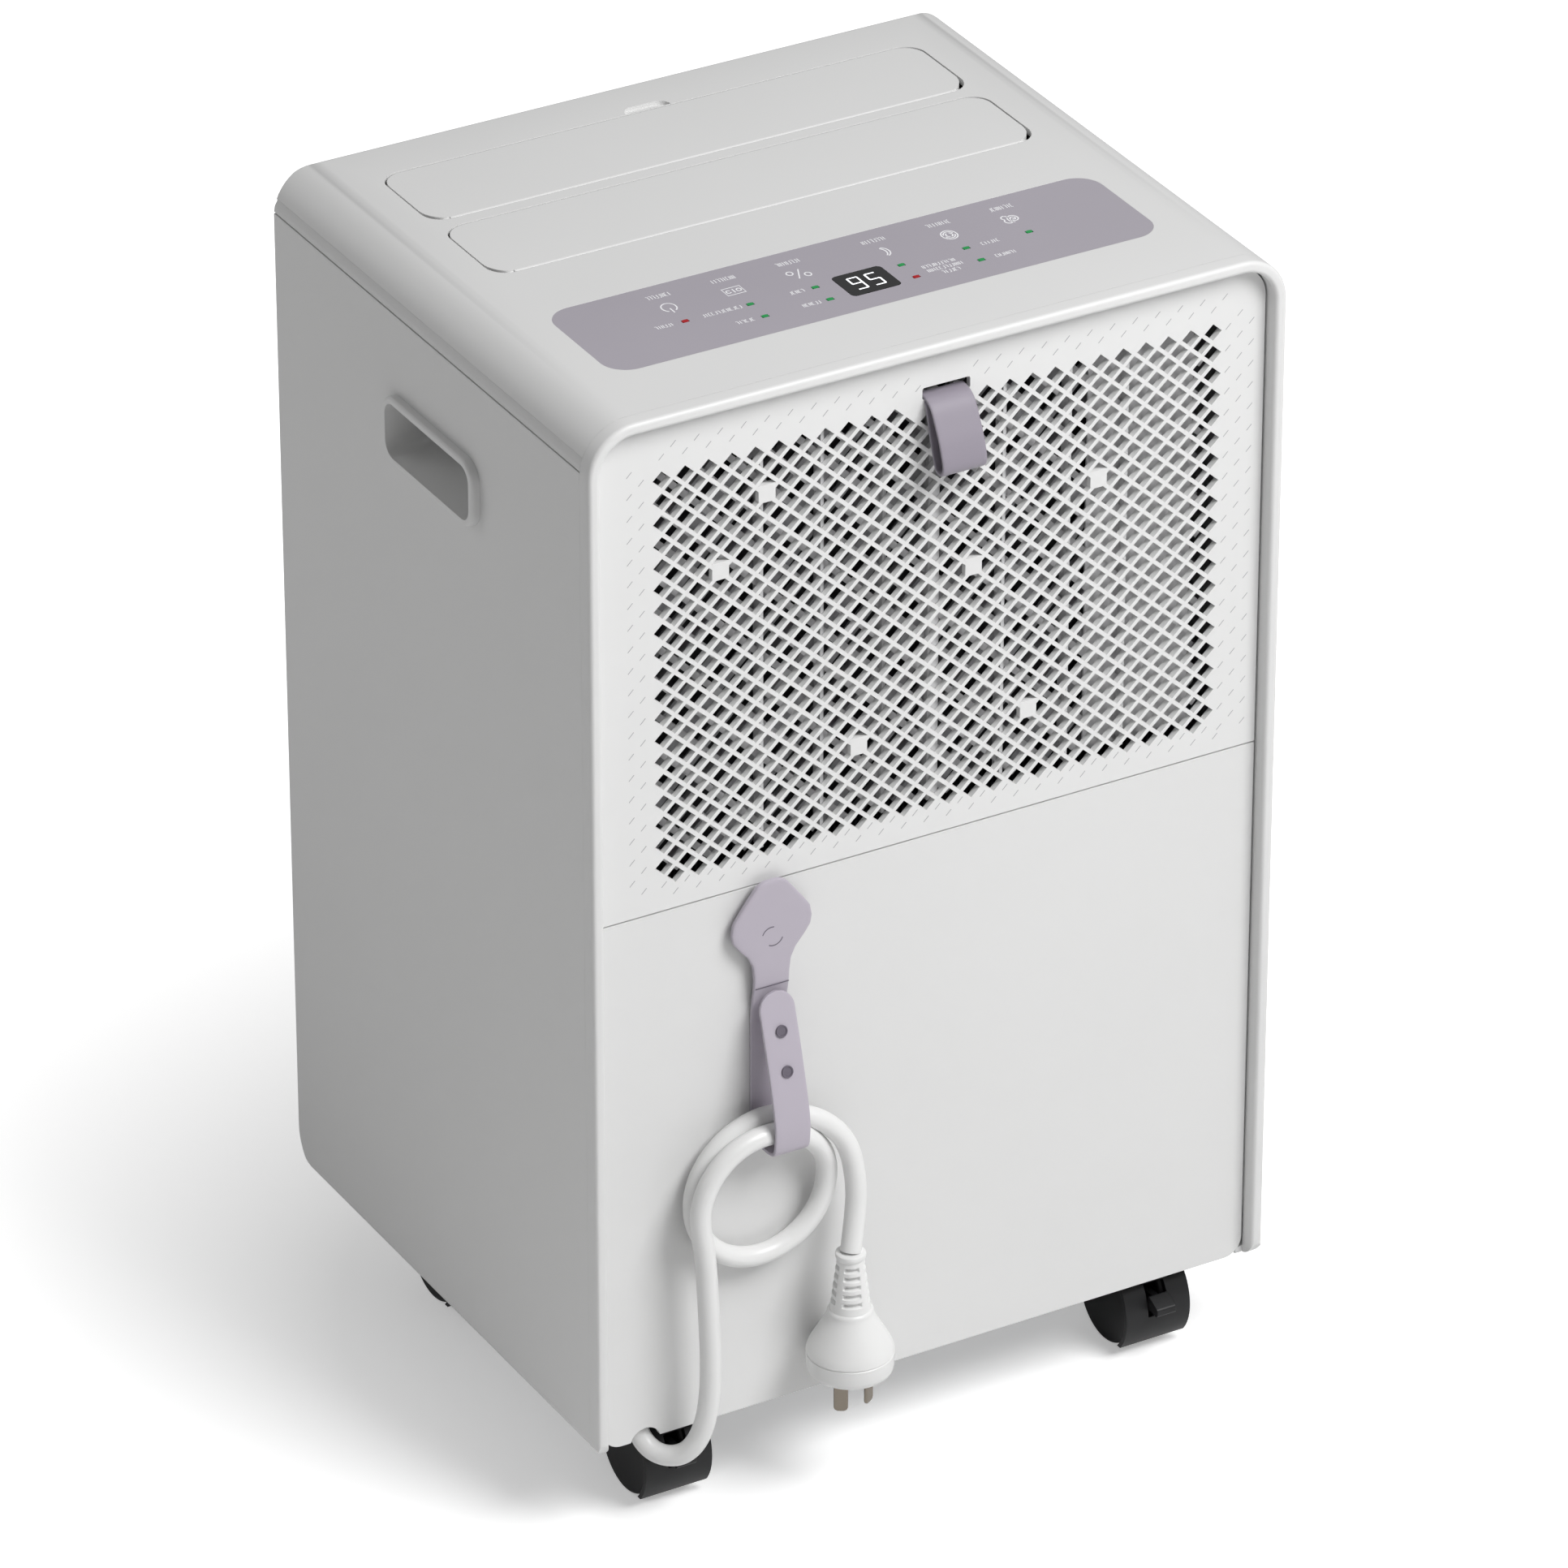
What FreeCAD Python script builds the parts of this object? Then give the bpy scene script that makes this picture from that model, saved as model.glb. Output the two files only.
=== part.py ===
import FreeCAD, Part
import math
import os

# Portable dehumidifier on casters.  Millimetres.  +Z is up, the user's side (water tank) faces -Y,
# the air inlet with its filter, and the mains cord, face +Y.  "Right" is +X.
# The origin is the centre of the footprint, cord left out, on the floor.

V = FreeCAD.Vector
AXES = {"x": V(1, 0, 0), "y": V(0, 1, 0), "z": V(0, 0, 1)}

# ---- driving dimensions ------------------------------------------------------------------------
WIDTH = 336.0            # casing, without the handle bezels
DEPTH = 280.0            # casing, front face to rear rim
HEIGHT = 500.0           # casing, without the casters
CLEARANCE = 44.0         # floor to the casing's lower edge
STRAP_PROUD = 16.0       # how far the cord strap stands behind the rear rim
WALL = 3.0               # moulded wall
SHOULDER = 22.0          # radius where the top turns into the sides
TOE = 22.0               # radius of the lower front edge
HEEL = 10.0              # radius of the lower rear edge
SKIRT = 8.0              # radius of the lower side edges
BROW = 4.0               # radius of the top front edge
RIM = 5.5                # width of the rear rim's face
RIM_DEPTH = 8.0          # depth of the rim band
INSET = 7.5              # rear panels lie this far in from the rim
GROOVE = 0.8             # visible gap round removable panels
SHEET = 2.5              # inner walls and smaller mouldings
RUNNING = 0.1            # radial clearance of a pin in its hole

SIDE = WIDTH / 2
FRONT = -(DEPTH + STRAP_PROUD) / 2
REAR = FRONT + DEPTH
MIDDLE = (FRONT + REAR) / 2
BOTTOM = CLEARANCE
TOP = BOTTOM + HEIGHT
SPLIT = REAR - RIM_DEPTH                 # casing ends here and the rim band begins
PANEL = REAR - INSET                     # outer face of both rear panels
SIDE_SEAM = TOP - 20.5                   # top cover above, side panels below
REAR_SEAM = BOTTOM + 261.5               # filter cover above, lower panel below
FRONT_SEAM = BOTTOM + 218.0              # front panel above, tank cover below
CORNER_RETURN = 9.0                      # side panels turn this far round the front corners

BASE = CLEARANCE + 6.0                   # underside of the base pan
TANK_BACK = MIDDLE - 10.0                # rear face of the water tank
BAY_WALL = TANK_BACK + 4.0               # front face of the wall behind the tank
CEILING = FRONT_SEAM                     # underside of the shelf above the tank

FLAP_HALF = 132.0                        # outlet flaps, half length
FLAP_REACH = 49.0                        # outlet flaps, front to back
FLAP_FRONT_EDGES = (MIDDLE - 111.5, MIDDLE - 54.5)
FLAP_THICK = 2.6
FLAP_GAP = 0.7
HINGE_PIN = 0.8

CORD_D = 9.4
COIL_R = 31.5                            # mean radius of the hanging coil
COIL_X, COIL_Z = 87.0, BOTTOM + 118.5
STRAP_X, STRAP_W, STRAP_T = 80.0, 17.0, 1.9
STRAP_HOLES = (BOTTOM + 189.0, BOTTOM + 169.0)
BACK_LAYER = PANEL + STRAP_T + 0.3 + CORD_D / 2
FRONT_LAYER = BACK_LAYER + CORD_D
PLUG_X, PLUG_Y = 52.8, PANEL + 20.5
RELIEF_TOP, PLUG_TOP, PLUG_BASE, PIN_TIP = 125.5, 95.0, 65.0, 48.0

PARTS = "parts"
os.makedirs(PARTS, exist_ok=True)


# ---- construction helpers ----------------------------------------------------------------------
def point(axis, u, v, w):
    """A point from its two in-plane coordinates (in x, y, z order) and its place along the axis."""
    return {"x": V(w, u, v), "y": V(u, w, v), "z": V(u, v, w)}[axis]


def rounded(corners, axis, w):
    """A closed wire through (u, v, radius) corners, each rounded by a tangent arc."""
    edges, ends = [], []
    count = len(corners)
    for i, (u, v, radius) in enumerate(corners):
        here = V(u, v, 0)
        before = V(*corners[i - 1][:2], 0) - here
        after = V(*corners[(i + 1) % count][:2], 0) - here
        before.normalize()
        after.normalize()
        if radius <= 0:
            ends.append((here, here, None))
            continue
        half = math.acos(max(-1.0, min(1.0, before.dot(after)))) / 2
        reach = radius / math.tan(half)
        inward = before + after
        inward.normalize()
        middle = here + inward * (radius / math.sin(half) - radius)
        ends.append((here + before * reach, here + after * reach, middle))
    for i, (start, end, middle) in enumerate(ends):
        if middle is not None:
            edges.append(Part.Arc(*[point(axis, p.x, p.y, w) for p in (start, middle, end)]).toShape())
        following = ends[(i + 1) % count][0]
        if (following - end).Length > 1e-6:
            edges.append(Part.LineSegment(point(axis, end.x, end.y, w),
                                          point(axis, following.x, following.y, w)).toShape())
    return Part.Wire(edges)


def rect(u0, u1, v0, v1, r=0.0):
    """Corners of a rectangle; r is one radius, or four from (u0, v0) anticlockwise."""
    radii = r if isinstance(r, (tuple, list)) else (r,) * 4
    return [(u0, v0, radii[0]), (u1, v0, radii[1]), (u1, v1, radii[2]), (u0, v1, radii[3])]


def prism(corners, axis, low, high):
    return Part.Face(rounded(corners, axis, low)).extrude(AXES[axis] * (high - low))


def box(x0, x1, y0, y1, z0, z1):
    return Part.makeBox(x1 - x0, y1 - y0, z1 - z0, V(x0, y0, z0))


def rod(radius, axis, low, high, u, v):
    return Part.makeCylinder(radius, high - low, point(axis, u, v, low), AXES[axis])


def ring(outer, inner, axis, low, high, u, v):
    return rod(outer, axis, low, high, u, v).cut(rod(inner, axis, low - 1, high + 1, u, v))


def turned(profile, axis, u, v):
    """A body of revolution from (radius, height) corners about an axis through (u, v)."""
    plane = {"z": lambda r, h: V(u + r, v, h), "x": lambda r, h: V(h, u + r, v),
             "y": lambda r, h: V(u + r, h, v)}[axis]
    wire = Part.makePolygon([plane(r, h) for r, h in profile + profile[:1]])
    return Part.Face(wire).revolve(point(axis, u, v, 0), AXES[axis], 360)


def mirrored(shape):
    return shape.mirror(V(0, 0, 0), V(1, 0, 0))


def joined(shapes):
    return shapes[0].fuse(shapes[1:]).removeSplitter()


def save(name, shape):
    solids = shape.Solids
    assert solids and all(s.isValid() for s in solids), name
    whole = solids[0] if len(solids) == 1 else Part.Compound(solids)
    whole.exportStep(os.path.join(PARTS, name + ".step"))


# ---- casing ------------------------------------------------------------------------------------
def envelope(inset, floor, back):
    """The casing's outer form, offset inward, down to `floor` and rearward to `back`."""
    wide = SIDE - inset
    shoulder = SHOULDER - inset
    skirt = SKIRT - inset
    across = prism(rect(-wide, wide, floor, TOP - inset, (skirt, skirt, shoulder, shoulder)),
                   "y", FRONT - 1, back)
    toe = TOE - inset
    heel = HEEL if inset == 0 else 0
    along = prism(rect(FRONT + inset, back, floor, TOP - inset, (toe, heel, 0, max(BROW - inset, 1))),
                  "x", -SIDE - 1, SIDE + 1)
    return across.common(along)


def make_casing():
    """The whole moulded skin in front of the rear rim, before it is divided into panels."""
    skin = envelope(0, BOTTOM, REAR).cut(envelope(WALL, BOTTOM + WALL, REAR + 1))
    return skin.cut(box(-SIDE - 1, SIDE + 1, SPLIT, REAR + 1, 0, TOP + 1))


HANDLE_Y, HANDLE_Z = MIDDLE + 4.5, BOTTOM + 427.0
BEZEL_LONG, BEZEL_TALL, BEZEL_PROUD, BEZEL_WALL = 81.0, 32.0, 4.0, 3.2
CUP_DEPTH = 30.0


def handle_outline(grow, radius):
    return rect(HANDLE_Y - BEZEL_LONG / 2 - grow, HANDLE_Y + BEZEL_LONG / 2 + grow,
                HANDLE_Z - BEZEL_TALL / 2 - grow, HANDLE_Z + BEZEL_TALL / 2 + grow, radius)


def side_panel(skin):
    keep = box(SIDE - CORNER_RETURN, SIDE + 1, FRONT - 1, REAR, 0, SIDE_SEAM)
    hole = prism(handle_outline(-1.2, 8.8), "x", SIDE - WALL - 1, SIDE + 1)
    return skin.common(keep).cut(hole)


def handle_cup():
    """A hand recess with a raised bezel, clipped into the side panel's hole."""
    bezel = prism(handle_outline(0, 10), "x", SIDE, SIDE + BEZEL_PROUD)
    shell = prism(handle_outline(-1.5, 8.5), "x", SIDE - CUP_DEPTH, SIDE)
    pocket = prism(handle_outline(-BEZEL_WALL, 6.8), "x", SIDE - CUP_DEPTH + SHEET, SIDE + BEZEL_PROUD + 1)
    lip = [e for e in bezel.Edges
           if abs(e.BoundBox.XMin - (SIDE + BEZEL_PROUD)) < 1e-3 and e.BoundBox.XLength < 1e-3]
    return bezel.makeFillet(1.4, lip).fuse(shell).cut(pocket).removeSplitter()


OVERLAY = rect(-132.5, 132.5, MIDDLE + 35.0, MIDDLE + 97.5, 12)
OVERLAY_T = 0.8
DISPLAY = rect(-12, 12, MIDDLE + 65.5, MIDDLE + 85.5, 2.5)
LED_COLUMNS = (83.6, 52.6, 21.4, -20.2, -51.8, -82.6)
LED_ROWS = (MIDDLE + 69.8, MIDDLE + 82.3)
LED_SIZE = (3.0, 2.0)


def flap_opening(front_edge, grow):
    return rect(-FLAP_HALF - grow, FLAP_HALF + grow, front_edge - grow,
                front_edge + FLAP_REACH + grow, (10, 10, 10, 10))


def flap_axis(front_edge):
    return front_edge + FLAP_REACH - FLAP_THICK / 2, TOP - 0.1 - FLAP_THICK / 2


def top_cover(skin):
    """Top and both shoulders in one moulding, with the shadow groove above each side panel."""
    cover = skin.common(box(-SIDE - 1, SIDE + 1, FRONT - 1, SPLIT, SIDE_SEAM + GROOVE, TOP + 1))
    groove = [(SIDE + 2, TOP - 14.0, 0), (SIDE - 2.2, TOP - 14.0, 0), (SIDE, TOP - 18.0, 0),
              (SIDE + 2, TOP - 18.0, 0)]
    groove_cut = prism(groove, "y", FRONT - 1, SPLIT + 1)
    cover = cover.cut(groove_cut).cut(mirrored(groove_cut))
    for edge in FLAP_FRONT_EDGES:
        cover = cover.cut(prism(flap_opening(edge, FLAP_GAP), "z", TOP - WALL - 1, TOP + 1))
        y, z = flap_axis(edge)
        for sign in (1, -1):
            start = sign * (FLAP_HALF + FLAP_GAP)
            low, high = sorted((start - sign * 7, start + sign * 5))
            cover = cover.cut(rod(HINGE_PIN + RUNNING, "x", low, high, y, z))
    notch = prism([(-11, FLAP_FRONT_EDGES[0] - 1, 0), (11, FLAP_FRONT_EDGES[0] - 1, 0),
                   (11, FLAP_FRONT_EDGES[0] - 6.2, 5), (-11, FLAP_FRONT_EDGES[0] - 6.2, 5)],
                  "z", TOP - 1.8, TOP + 1)
    recess = prism(OVERLAY, "z", TOP - OVERLAY_T, TOP + 1)
    window = prism(DISPLAY, "z", TOP - WALL - 1, TOP + 1)
    cover = cover.cut(notch).cut(recess).cut(window)
    for x, y in led_places(True) + led_places(False):
        cover = cover.cut(box(x - 2.2, x + 2.2, y - 1.7, y + 1.7, TOP - WALL - 1, TOP + 1))
    return cover


def led_places(green):
    """Indicator lamps: two rows under the symbols; red marks standby and tank full."""
    reds = [(LED_COLUMNS[0], LED_ROWS[0]), (LED_COLUMNS[3], LED_ROWS[1])]
    if not green:
        return reds
    greens = [(x, y) for x in LED_COLUMNS for y in LED_ROWS]
    unused = reds + [(LED_COLUMNS[0], LED_ROWS[1]), (LED_COLUMNS[5], LED_ROWS[1])]
    return [spot for spot in greens if spot not in unused]


def lamps(green):
    half_x, half_y = LED_SIZE[0] / 2, LED_SIZE[1] / 2
    return Part.Compound([prism(rect(x - half_x, x + half_x, y - half_y, y + half_y, 0.9),
                                "z", TOP - WALL - 1.6, TOP + 0.15) for x, y in led_places(green)])


def control_overlay():
    sheet = prism(OVERLAY, "z", TOP - OVERLAY_T, TOP)
    sheet = sheet.cut(prism(DISPLAY, "z", TOP - 2, TOP + 1))
    for x, y in led_places(True) + led_places(False):
        sheet = sheet.cut(box(x - 1.7, x + 1.7, y - 1.2, y + 1.2, TOP - 2, TOP + 1))
    return sheet


def display_window():
    return prism(rect(-11.8, 11.8, MIDDLE + 65.7, MIDDLE + 85.3, 2.3), "z", TOP - WALL - 1.6, TOP + 0.1)


def display_board():
    board = box(-112, 112, MIDDLE + 40, MIDDLE + 92, TOP - WALL - 3.4, TOP - WALL - 1.6)
    parts = [board]
    for x in (-90, -60, -30, 30, 60, 90):
        parts.append(box(x - 5, x + 5, MIDDLE + 46, MIDDLE + 56, TOP - WALL - 6.4, TOP - WALL - 3.4))
    return joined(parts)


# ---- front and rear panels ---------------------------------------------------------------------
def front_panel(skin):
    half = SIDE - CORNER_RETURN - 0.5
    return skin.common(box(-half, half, FRONT - 1, FRONT + WALL, FRONT_SEAM, SIDE_SEAM))


def rear_frame():
    """The white rim band, with the flange that carries the rear panels."""
    hollow = prism(rect(-SIDE + RIM, SIDE - RIM, BOTTOM - 60, TOP - RIM,
                        (0, 0, SHOULDER - RIM, SHOULDER - RIM)), "y", SPLIT - 20, REAR + 1)
    band = prism(rect(-SIDE, SIDE, BOTTOM - 50, TOP, (0, 0, SHOULDER, SHOULDER)), "y", SPLIT, REAR)
    band = band.cut(hollow)
    edges = [e for e in band.Edges if abs(e.BoundBox.YMin - REAR) < 1e-3 and e.BoundBox.YLength < 1e-3
             and e.BoundBox.ZMax > BOTTOM]
    band = band.makeFillet(2.0, edges).common(envelope(0, BOTTOM, REAR))
    flange = prism(rect(-SIDE + WALL + 0.05, SIDE - WALL - 0.05, BOTTOM + 24, TOP - WALL - 0.05,
                        (0, 0, SHOULDER - WALL, SHOULDER - WALL)), "y", SPLIT - 10, SPLIT)
    flange = flange.cut(hollow)
    ledge_hole = prism(rect(-SIDE + RIM + 5, SIDE - RIM - 5, BOTTOM - 1, TOP - RIM - 5,
                            (0, 0, SHOULDER - RIM - 4, SHOULDER - RIM - 4)), "y", SPLIT - 20, REAR)
    ledge = prism(rect(-SIDE + RIM - 0.5, SIDE - RIM + 0.5, BOTTOM + 24, TOP - RIM + 0.5,
                       (0, 0, SHOULDER - RIM, SHOULDER - RIM)), "y", PANEL - 8.0, PANEL - 5.6)
    return joined([band, flange, ledge.cut(ledge_hole)])


PANEL_HALF = SIDE - RIM - GROOVE
PANEL_T = 3.0


def rear_lower_panel():
    """Plain rear panel with a small arch in its lower edge for the cord."""
    sheet = prism(rect(-PANEL_HALF, PANEL_HALF, BOTTOM, REAR_SEAM - GROOVE / 2, (9, 9, 0, 0)),
                  "y", PANEL - PANEL_T, PANEL)
    arch = rod(7.5, "y", PANEL - PANEL_T - 1, PANEL + 1, GLAND_X, BOTTOM - 2.0)
    ribs = [box(x - 1, x + 1, PANEL - PANEL_T - 2.4, PANEL - PANEL_T, BOTTOM + 16, REAR_SEAM - 12)
            for x in (-110, -55, 0, 55, 110)]
    return joined([sheet.cut(arch)] + ribs)


# Lattice of the filter cover: square holes on their corners, in two staggered sets of rows.
LATTICE_COLUMNS, LATTICE_ROWS = 25, 19
LATTICE_PITCH_X, LATTICE_PITCH_Z = 11.08, 10.2
LATTICE_HOLE_X, LATTICE_HOLE_Z = 4.25, 3.9
LATTICE_LEFT = 130.0
LATTICE_TOP = BOTTOM + 466.6
STRAP_SLOT_Z = BOTTOM + 474.0
PULL_X, PULL_W = -5.5, 21.5


def lattice_holes():
    """Centres of the holes; those round the pull strap's slot stay closed."""
    places = []
    for row in range(2 * LATTICE_ROWS):
        shifted = row % 2
        z = LATTICE_TOP - row * LATTICE_PITCH_Z / 2
        for column in range(LATTICE_COLUMNS - shifted):
            x = LATTICE_LEFT - (column + shifted / 2) * LATTICE_PITCH_X
            if abs(x - PULL_X) > PULL_W / 2 + 4 or z < STRAP_SLOT_Z - 8:
                places.append((x, z))
    return places


def filter_cover():
    """Removable inlet cover.  It tilts about its lower edge, so the gap below it clears its corners."""
    low, high = REAR_SEAM + GROOVE / 2, TOP - RIM - GROOVE
    corner = SHOULDER - RIM - GROOVE
    y = PANEL - PANEL_T
    outline = rounded(rect(-PANEL_HALF, PANEL_HALF, low, high, (0, 0, corner, corner)), "y", y)
    half_slot = PULL_W / 2 + 0.8
    slot = rect(PULL_X - half_slot, PULL_X + half_slot, STRAP_SLOT_Z - 2.8, STRAP_SLOT_Z + 2.8, 1.2)
    holes = [rounded(slot[::-1], "y", y)]
    for x, z in lattice_holes():
        corners = [V(x - LATTICE_HOLE_X, y, z), V(x, y, z + LATTICE_HOLE_Z),
                   V(x + LATTICE_HOLE_X, y, z), V(x, y, z - LATTICE_HOLE_Z)]
        holes.append(Part.makePolygon(corners + corners[:1]))
    return Part.Face([outline] + holes).extrude(V(0, PANEL_T, 0))


def filter_mesh():
    """Ribbed cartridge frame that holds the washable net behind the lattice."""
    y0, y1 = PANEL - PANEL_T - 2.4, PANEL - PANEL_T - 0.1
    z0, z1 = REAR_SEAM + 10, TOP - RIM - 16
    frame = box(-150, 150, y0, y1, z0, z1).cut(box(-144, 144, y0 - 1, y1 + 1, z0 + 6, z1 - 6))
    ribs = [box(x - 1.5, x + 1.5, y0, y1, z0, z1) for x in (-96, -48, 48, 96)]
    ribs.append(box(-4, 4, y0, y1, z0, z1))
    ribs.append(box(-150, 150, y0, y1, (z0 + z1) / 2 - 1.5, (z0 + z1) / 2 + 1.5))
    net = box(-144.5, 144.5, y0, y0 + 0.5, z0 + 5.5, z1 - 5.5)
    keep = box(PULL_X - PULL_W / 2 - 3, PULL_X + PULL_W / 2 + 3, y0 - 1, y1 + 1,
               STRAP_SLOT_Z - 6, STRAP_SLOT_Z + 6)
    return joined([frame, net] + ribs).cut(keep)


def filter_pull_strap():
    """Folded ribbon loop: both ends pass the slot and are held by a bar behind it."""
    top, foot = STRAP_SLOT_Z, STRAP_SLOT_Z - 33
    outer = [(PANEL - 4.0, top + 2.2, 0), (PANEL + 4.2, top + 2.2, 4), (PANEL + 17.5, foot + 6, 7.5),
             (PANEL + 15.5, foot, 2.8), (PANEL + 7.5, foot + 2, 2.8), (PANEL + 0.5, top - 2.2, 1.5),
             (PANEL - 4.0, top - 2.2, 0)]
    inner = [(PANEL + 1.3, top + 0.5, 0.6), (PANEL + 3.6, top + 0.5, 2.2),
             (PANEL + 15.8, foot + 6.2, 6), (PANEL + 14.4, foot + 1.7, 1.5), (PANEL + 9.3, foot + 2.9, 1.2)]
    bar = rect(PANEL - PANEL_T - 2.2, PANEL - PANEL_T - 0.1, top - 4.5, top + 4.5)
    low, high = PULL_X - PULL_W / 2, PULL_X + PULL_W / 2
    loop = prism(outer, "x", low, high).cut(prism(inner, "x", low - 1, high + 1))
    return joined([loop, prism(bar, "x", low, high)])


# ---- outlet flaps ------------------------------------------------------------------------------
EAR_DROP = 14.0
EAR_X = 123.0


def outlet_flap(front_edge):
    """Flap with a barrel along its rear edge, two hinge pins and one crank ear.  Its rear corners are
    rounder than the opening's, so they clear it as the flap swings up."""
    y, z = flap_axis(front_edge)
    half = FLAP_THICK / 2
    plate = prism(rect(-FLAP_HALF, FLAP_HALF, front_edge, y, (10, 10, 0, 0)), "z", z - half, z + half)
    ends = FLAP_HALF - 9
    barrel = rod(half, "x", -ends, ends, y, z)
    wing = prism(rect(-FLAP_HALF, FLAP_HALF, y - 10, y, 0), "z", z - half, z + half)
    outline = prism(rect(-FLAP_HALF, FLAP_HALF, front_edge, front_edge + FLAP_REACH, (10, 10, 13, 13)),
                    "z", TOP - 20, TOP + 1)
    leaf = joined([plate, barrel, wing]).common(outline)
    pin = rod(HINGE_PIN, "x", -FLAP_HALF - 3.5, FLAP_HALF + 3.5, y, z)
    ear = prism([(y - 4, z, 0), (y + 1.2, z, 0), (y + 2.6, z - EAR_DROP, 2.6),
                 (y, z - EAR_DROP - 3.4, 2.2), (y - 2.6, z - EAR_DROP, 2.6)], "x", EAR_X - 1, EAR_X + 1)
    ear = ear.cut(rod(1.0 + RUNNING, "x", EAR_X - 2, EAR_X + 2, y, z - EAR_DROP))
    stiffeners = [box(-FLAP_HALF + 12, FLAP_HALF - 12, front_edge + f, front_edge + f + 1.5,
                      z - half - 2.5, z - half) for f in (10, 24, 38)]
    return joined([leaf, pin, ear] + stiffeners)


def outlet_link():
    """Flat link with a stub pin at each end, running in the ears of both flaps."""
    ends = [flap_axis(edge) for edge in FLAP_FRONT_EDGES]
    z = ends[0][1] - EAR_DROP
    x0 = EAR_X + 1.2
    bar = prism(rect(ends[0][0] - 2.6, ends[1][0] + 2.6, z - 1.9, z + 1.9, 1.8), "x", x0, x0 + 1.8)
    pins = [rod(1.0, "x", EAR_X - 1.2, x0 + 0.5, y, z) for y, _ in ends]
    return joined([bar] + pins)


def outlet_grille():
    """Fixed guard bars under the flaps."""
    y0, y1 = FLAP_FRONT_EDGES[0] + 2, FLAP_FRONT_EDGES[1] + FLAP_REACH - 2
    z0, z1 = TOP - 28, TOP - 24
    frame = box(-118, 118, y0, y1, z0, z1).cut(box(-115, 115, y0 + 3, y1 - 3, z0 - 1, z1 + 1))
    bars = [box(-116, 116, y - 0.9, y + 0.9, z0, z1) for y in
            [y0 + 3 + (y1 - y0 - 6) * i / 9 for i in range(1, 9)]]
    posts = [box(x - 1.2, x + 1.2, y0, y1, z0, z1) for x in (-58, 0, 58)]
    return joined([frame] + bars + posts)


# ---- base, tank bay and tank -------------------------------------------------------------------
CASTER_X, STEM_REAR, STEM_FRONT = 122.0, REAR - 50.0, FRONT + 52.0
STEM_R = 4.0
GLAND_X, GLAND_Y = 141.0, PANEL - 9.0


def base_pan():
    half = SIDE - WALL - 0.3
    pan = box(-half, half, FRONT + 23, PANEL - PANEL_T - 3.4, BASE, BASE + WALL)
    wall = box(-half, half, BAY_WALL + 4, PANEL - PANEL_T - 3.4, BASE, BASE + 16)
    wall = wall.cut(box(-half + WALL, half - WALL, BAY_WALL + 7, PANEL - PANEL_T - 6.4, BASE - 1, BASE + 17))
    parts = [pan, wall]
    for x in (-CASTER_X, CASTER_X):
        for y in (STEM_REAR, STEM_FRONT):
            if y == STEM_REAR:
                parts.append(rod(9, "z", BASE, BASE + 20, x, y))
    base = joined(parts)
    for x in (-CASTER_X, CASTER_X):
        for y in (STEM_REAR, STEM_FRONT):
            base = base.cut(rod(STEM_R + RUNNING, "z", BASE - 1, BASE + 21, x, y))
    return base.cut(rod(8.0, "z", BASE - 1, BASE + 17, GLAND_X, GLAND_Y))


def bay_back_wall():
    return box(-SIDE + WALL + 1, SIDE - WALL - 1, BAY_WALL, BAY_WALL + SHEET, BASE + WALL, CEILING)


SPOUT = (0.0, BAY_WALL - 26.0)


def bay_ceiling():
    shelf = box(-SIDE + WALL + 1, SIDE - WALL - 1, FRONT + WALL + 0.5, SPLIT - 12, CEILING, CEILING + SHEET)
    shelf = shelf.cut(rod(7.5, "z", CEILING - 1, CEILING + SHEET + 1, *SPOUT))
    for x in PIPE_X:
        shelf = shelf.cut(rod(6, "z", CEILING - 1, CEILING + SHEET + 1, x, PIPE_Y))
    return shelf


TANK = (-155.0, 155.0, FRONT + 7.0, TANK_BACK, BASE + WALL + 1.5, BOTTOM + 161.0)
TANK_WALL = 2.0
BAIL_Y, BAIL_Z = (TANK[2] + TANK[3]) / 2, TANK[5] - 6.0
BAIL_REACH, BAIL_R = 50.0, 3.0
FLOAT_Y, FLOAT_Z = TANK[3] - 7.0, TANK[5] - 20.0


def water_tank():
    x0, x1, y0, y1, z0, z1 = TANK
    t = TANK_WALL
    outer = prism(rect(x0, x1, y0, y1, 12), "z", z0, z1)
    inner = prism(rect(x0 + t, x1 - t, y0 + t, y1 - t, 10), "z", z0 + t, z1 + 1)
    parts = [outer.cut(inner)]
    for sign in (1, -1):
        low, high = sorted((sign * x1, sign * (x1 + 2.8)))
        parts.append(rod(2.8, "x", low, high, BAIL_Y, BAIL_Z))
    for x in (112.0, 148.0):
        lug = prism(rect(FLOAT_Y - 4, y1 - t / 2, FLOAT_Z - 4, FLOAT_Z + 4, 0), "x", x - 1.5, x + 1.5)
        parts.append(lug.cut(rod(1.6, "x", x - 2, x + 2, FLOAT_Y, FLOAT_Z)))
    return joined(parts)


GRIP = (-50.0, 50.0, FRONT_SEAM - 34.0, FRONT_SEAM - 6.0)
GRIP_DEPTH = 17.0
WINDOW = rect(-128, -112, BOTTOM + 60, BOTTOM + 150, 6)


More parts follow.
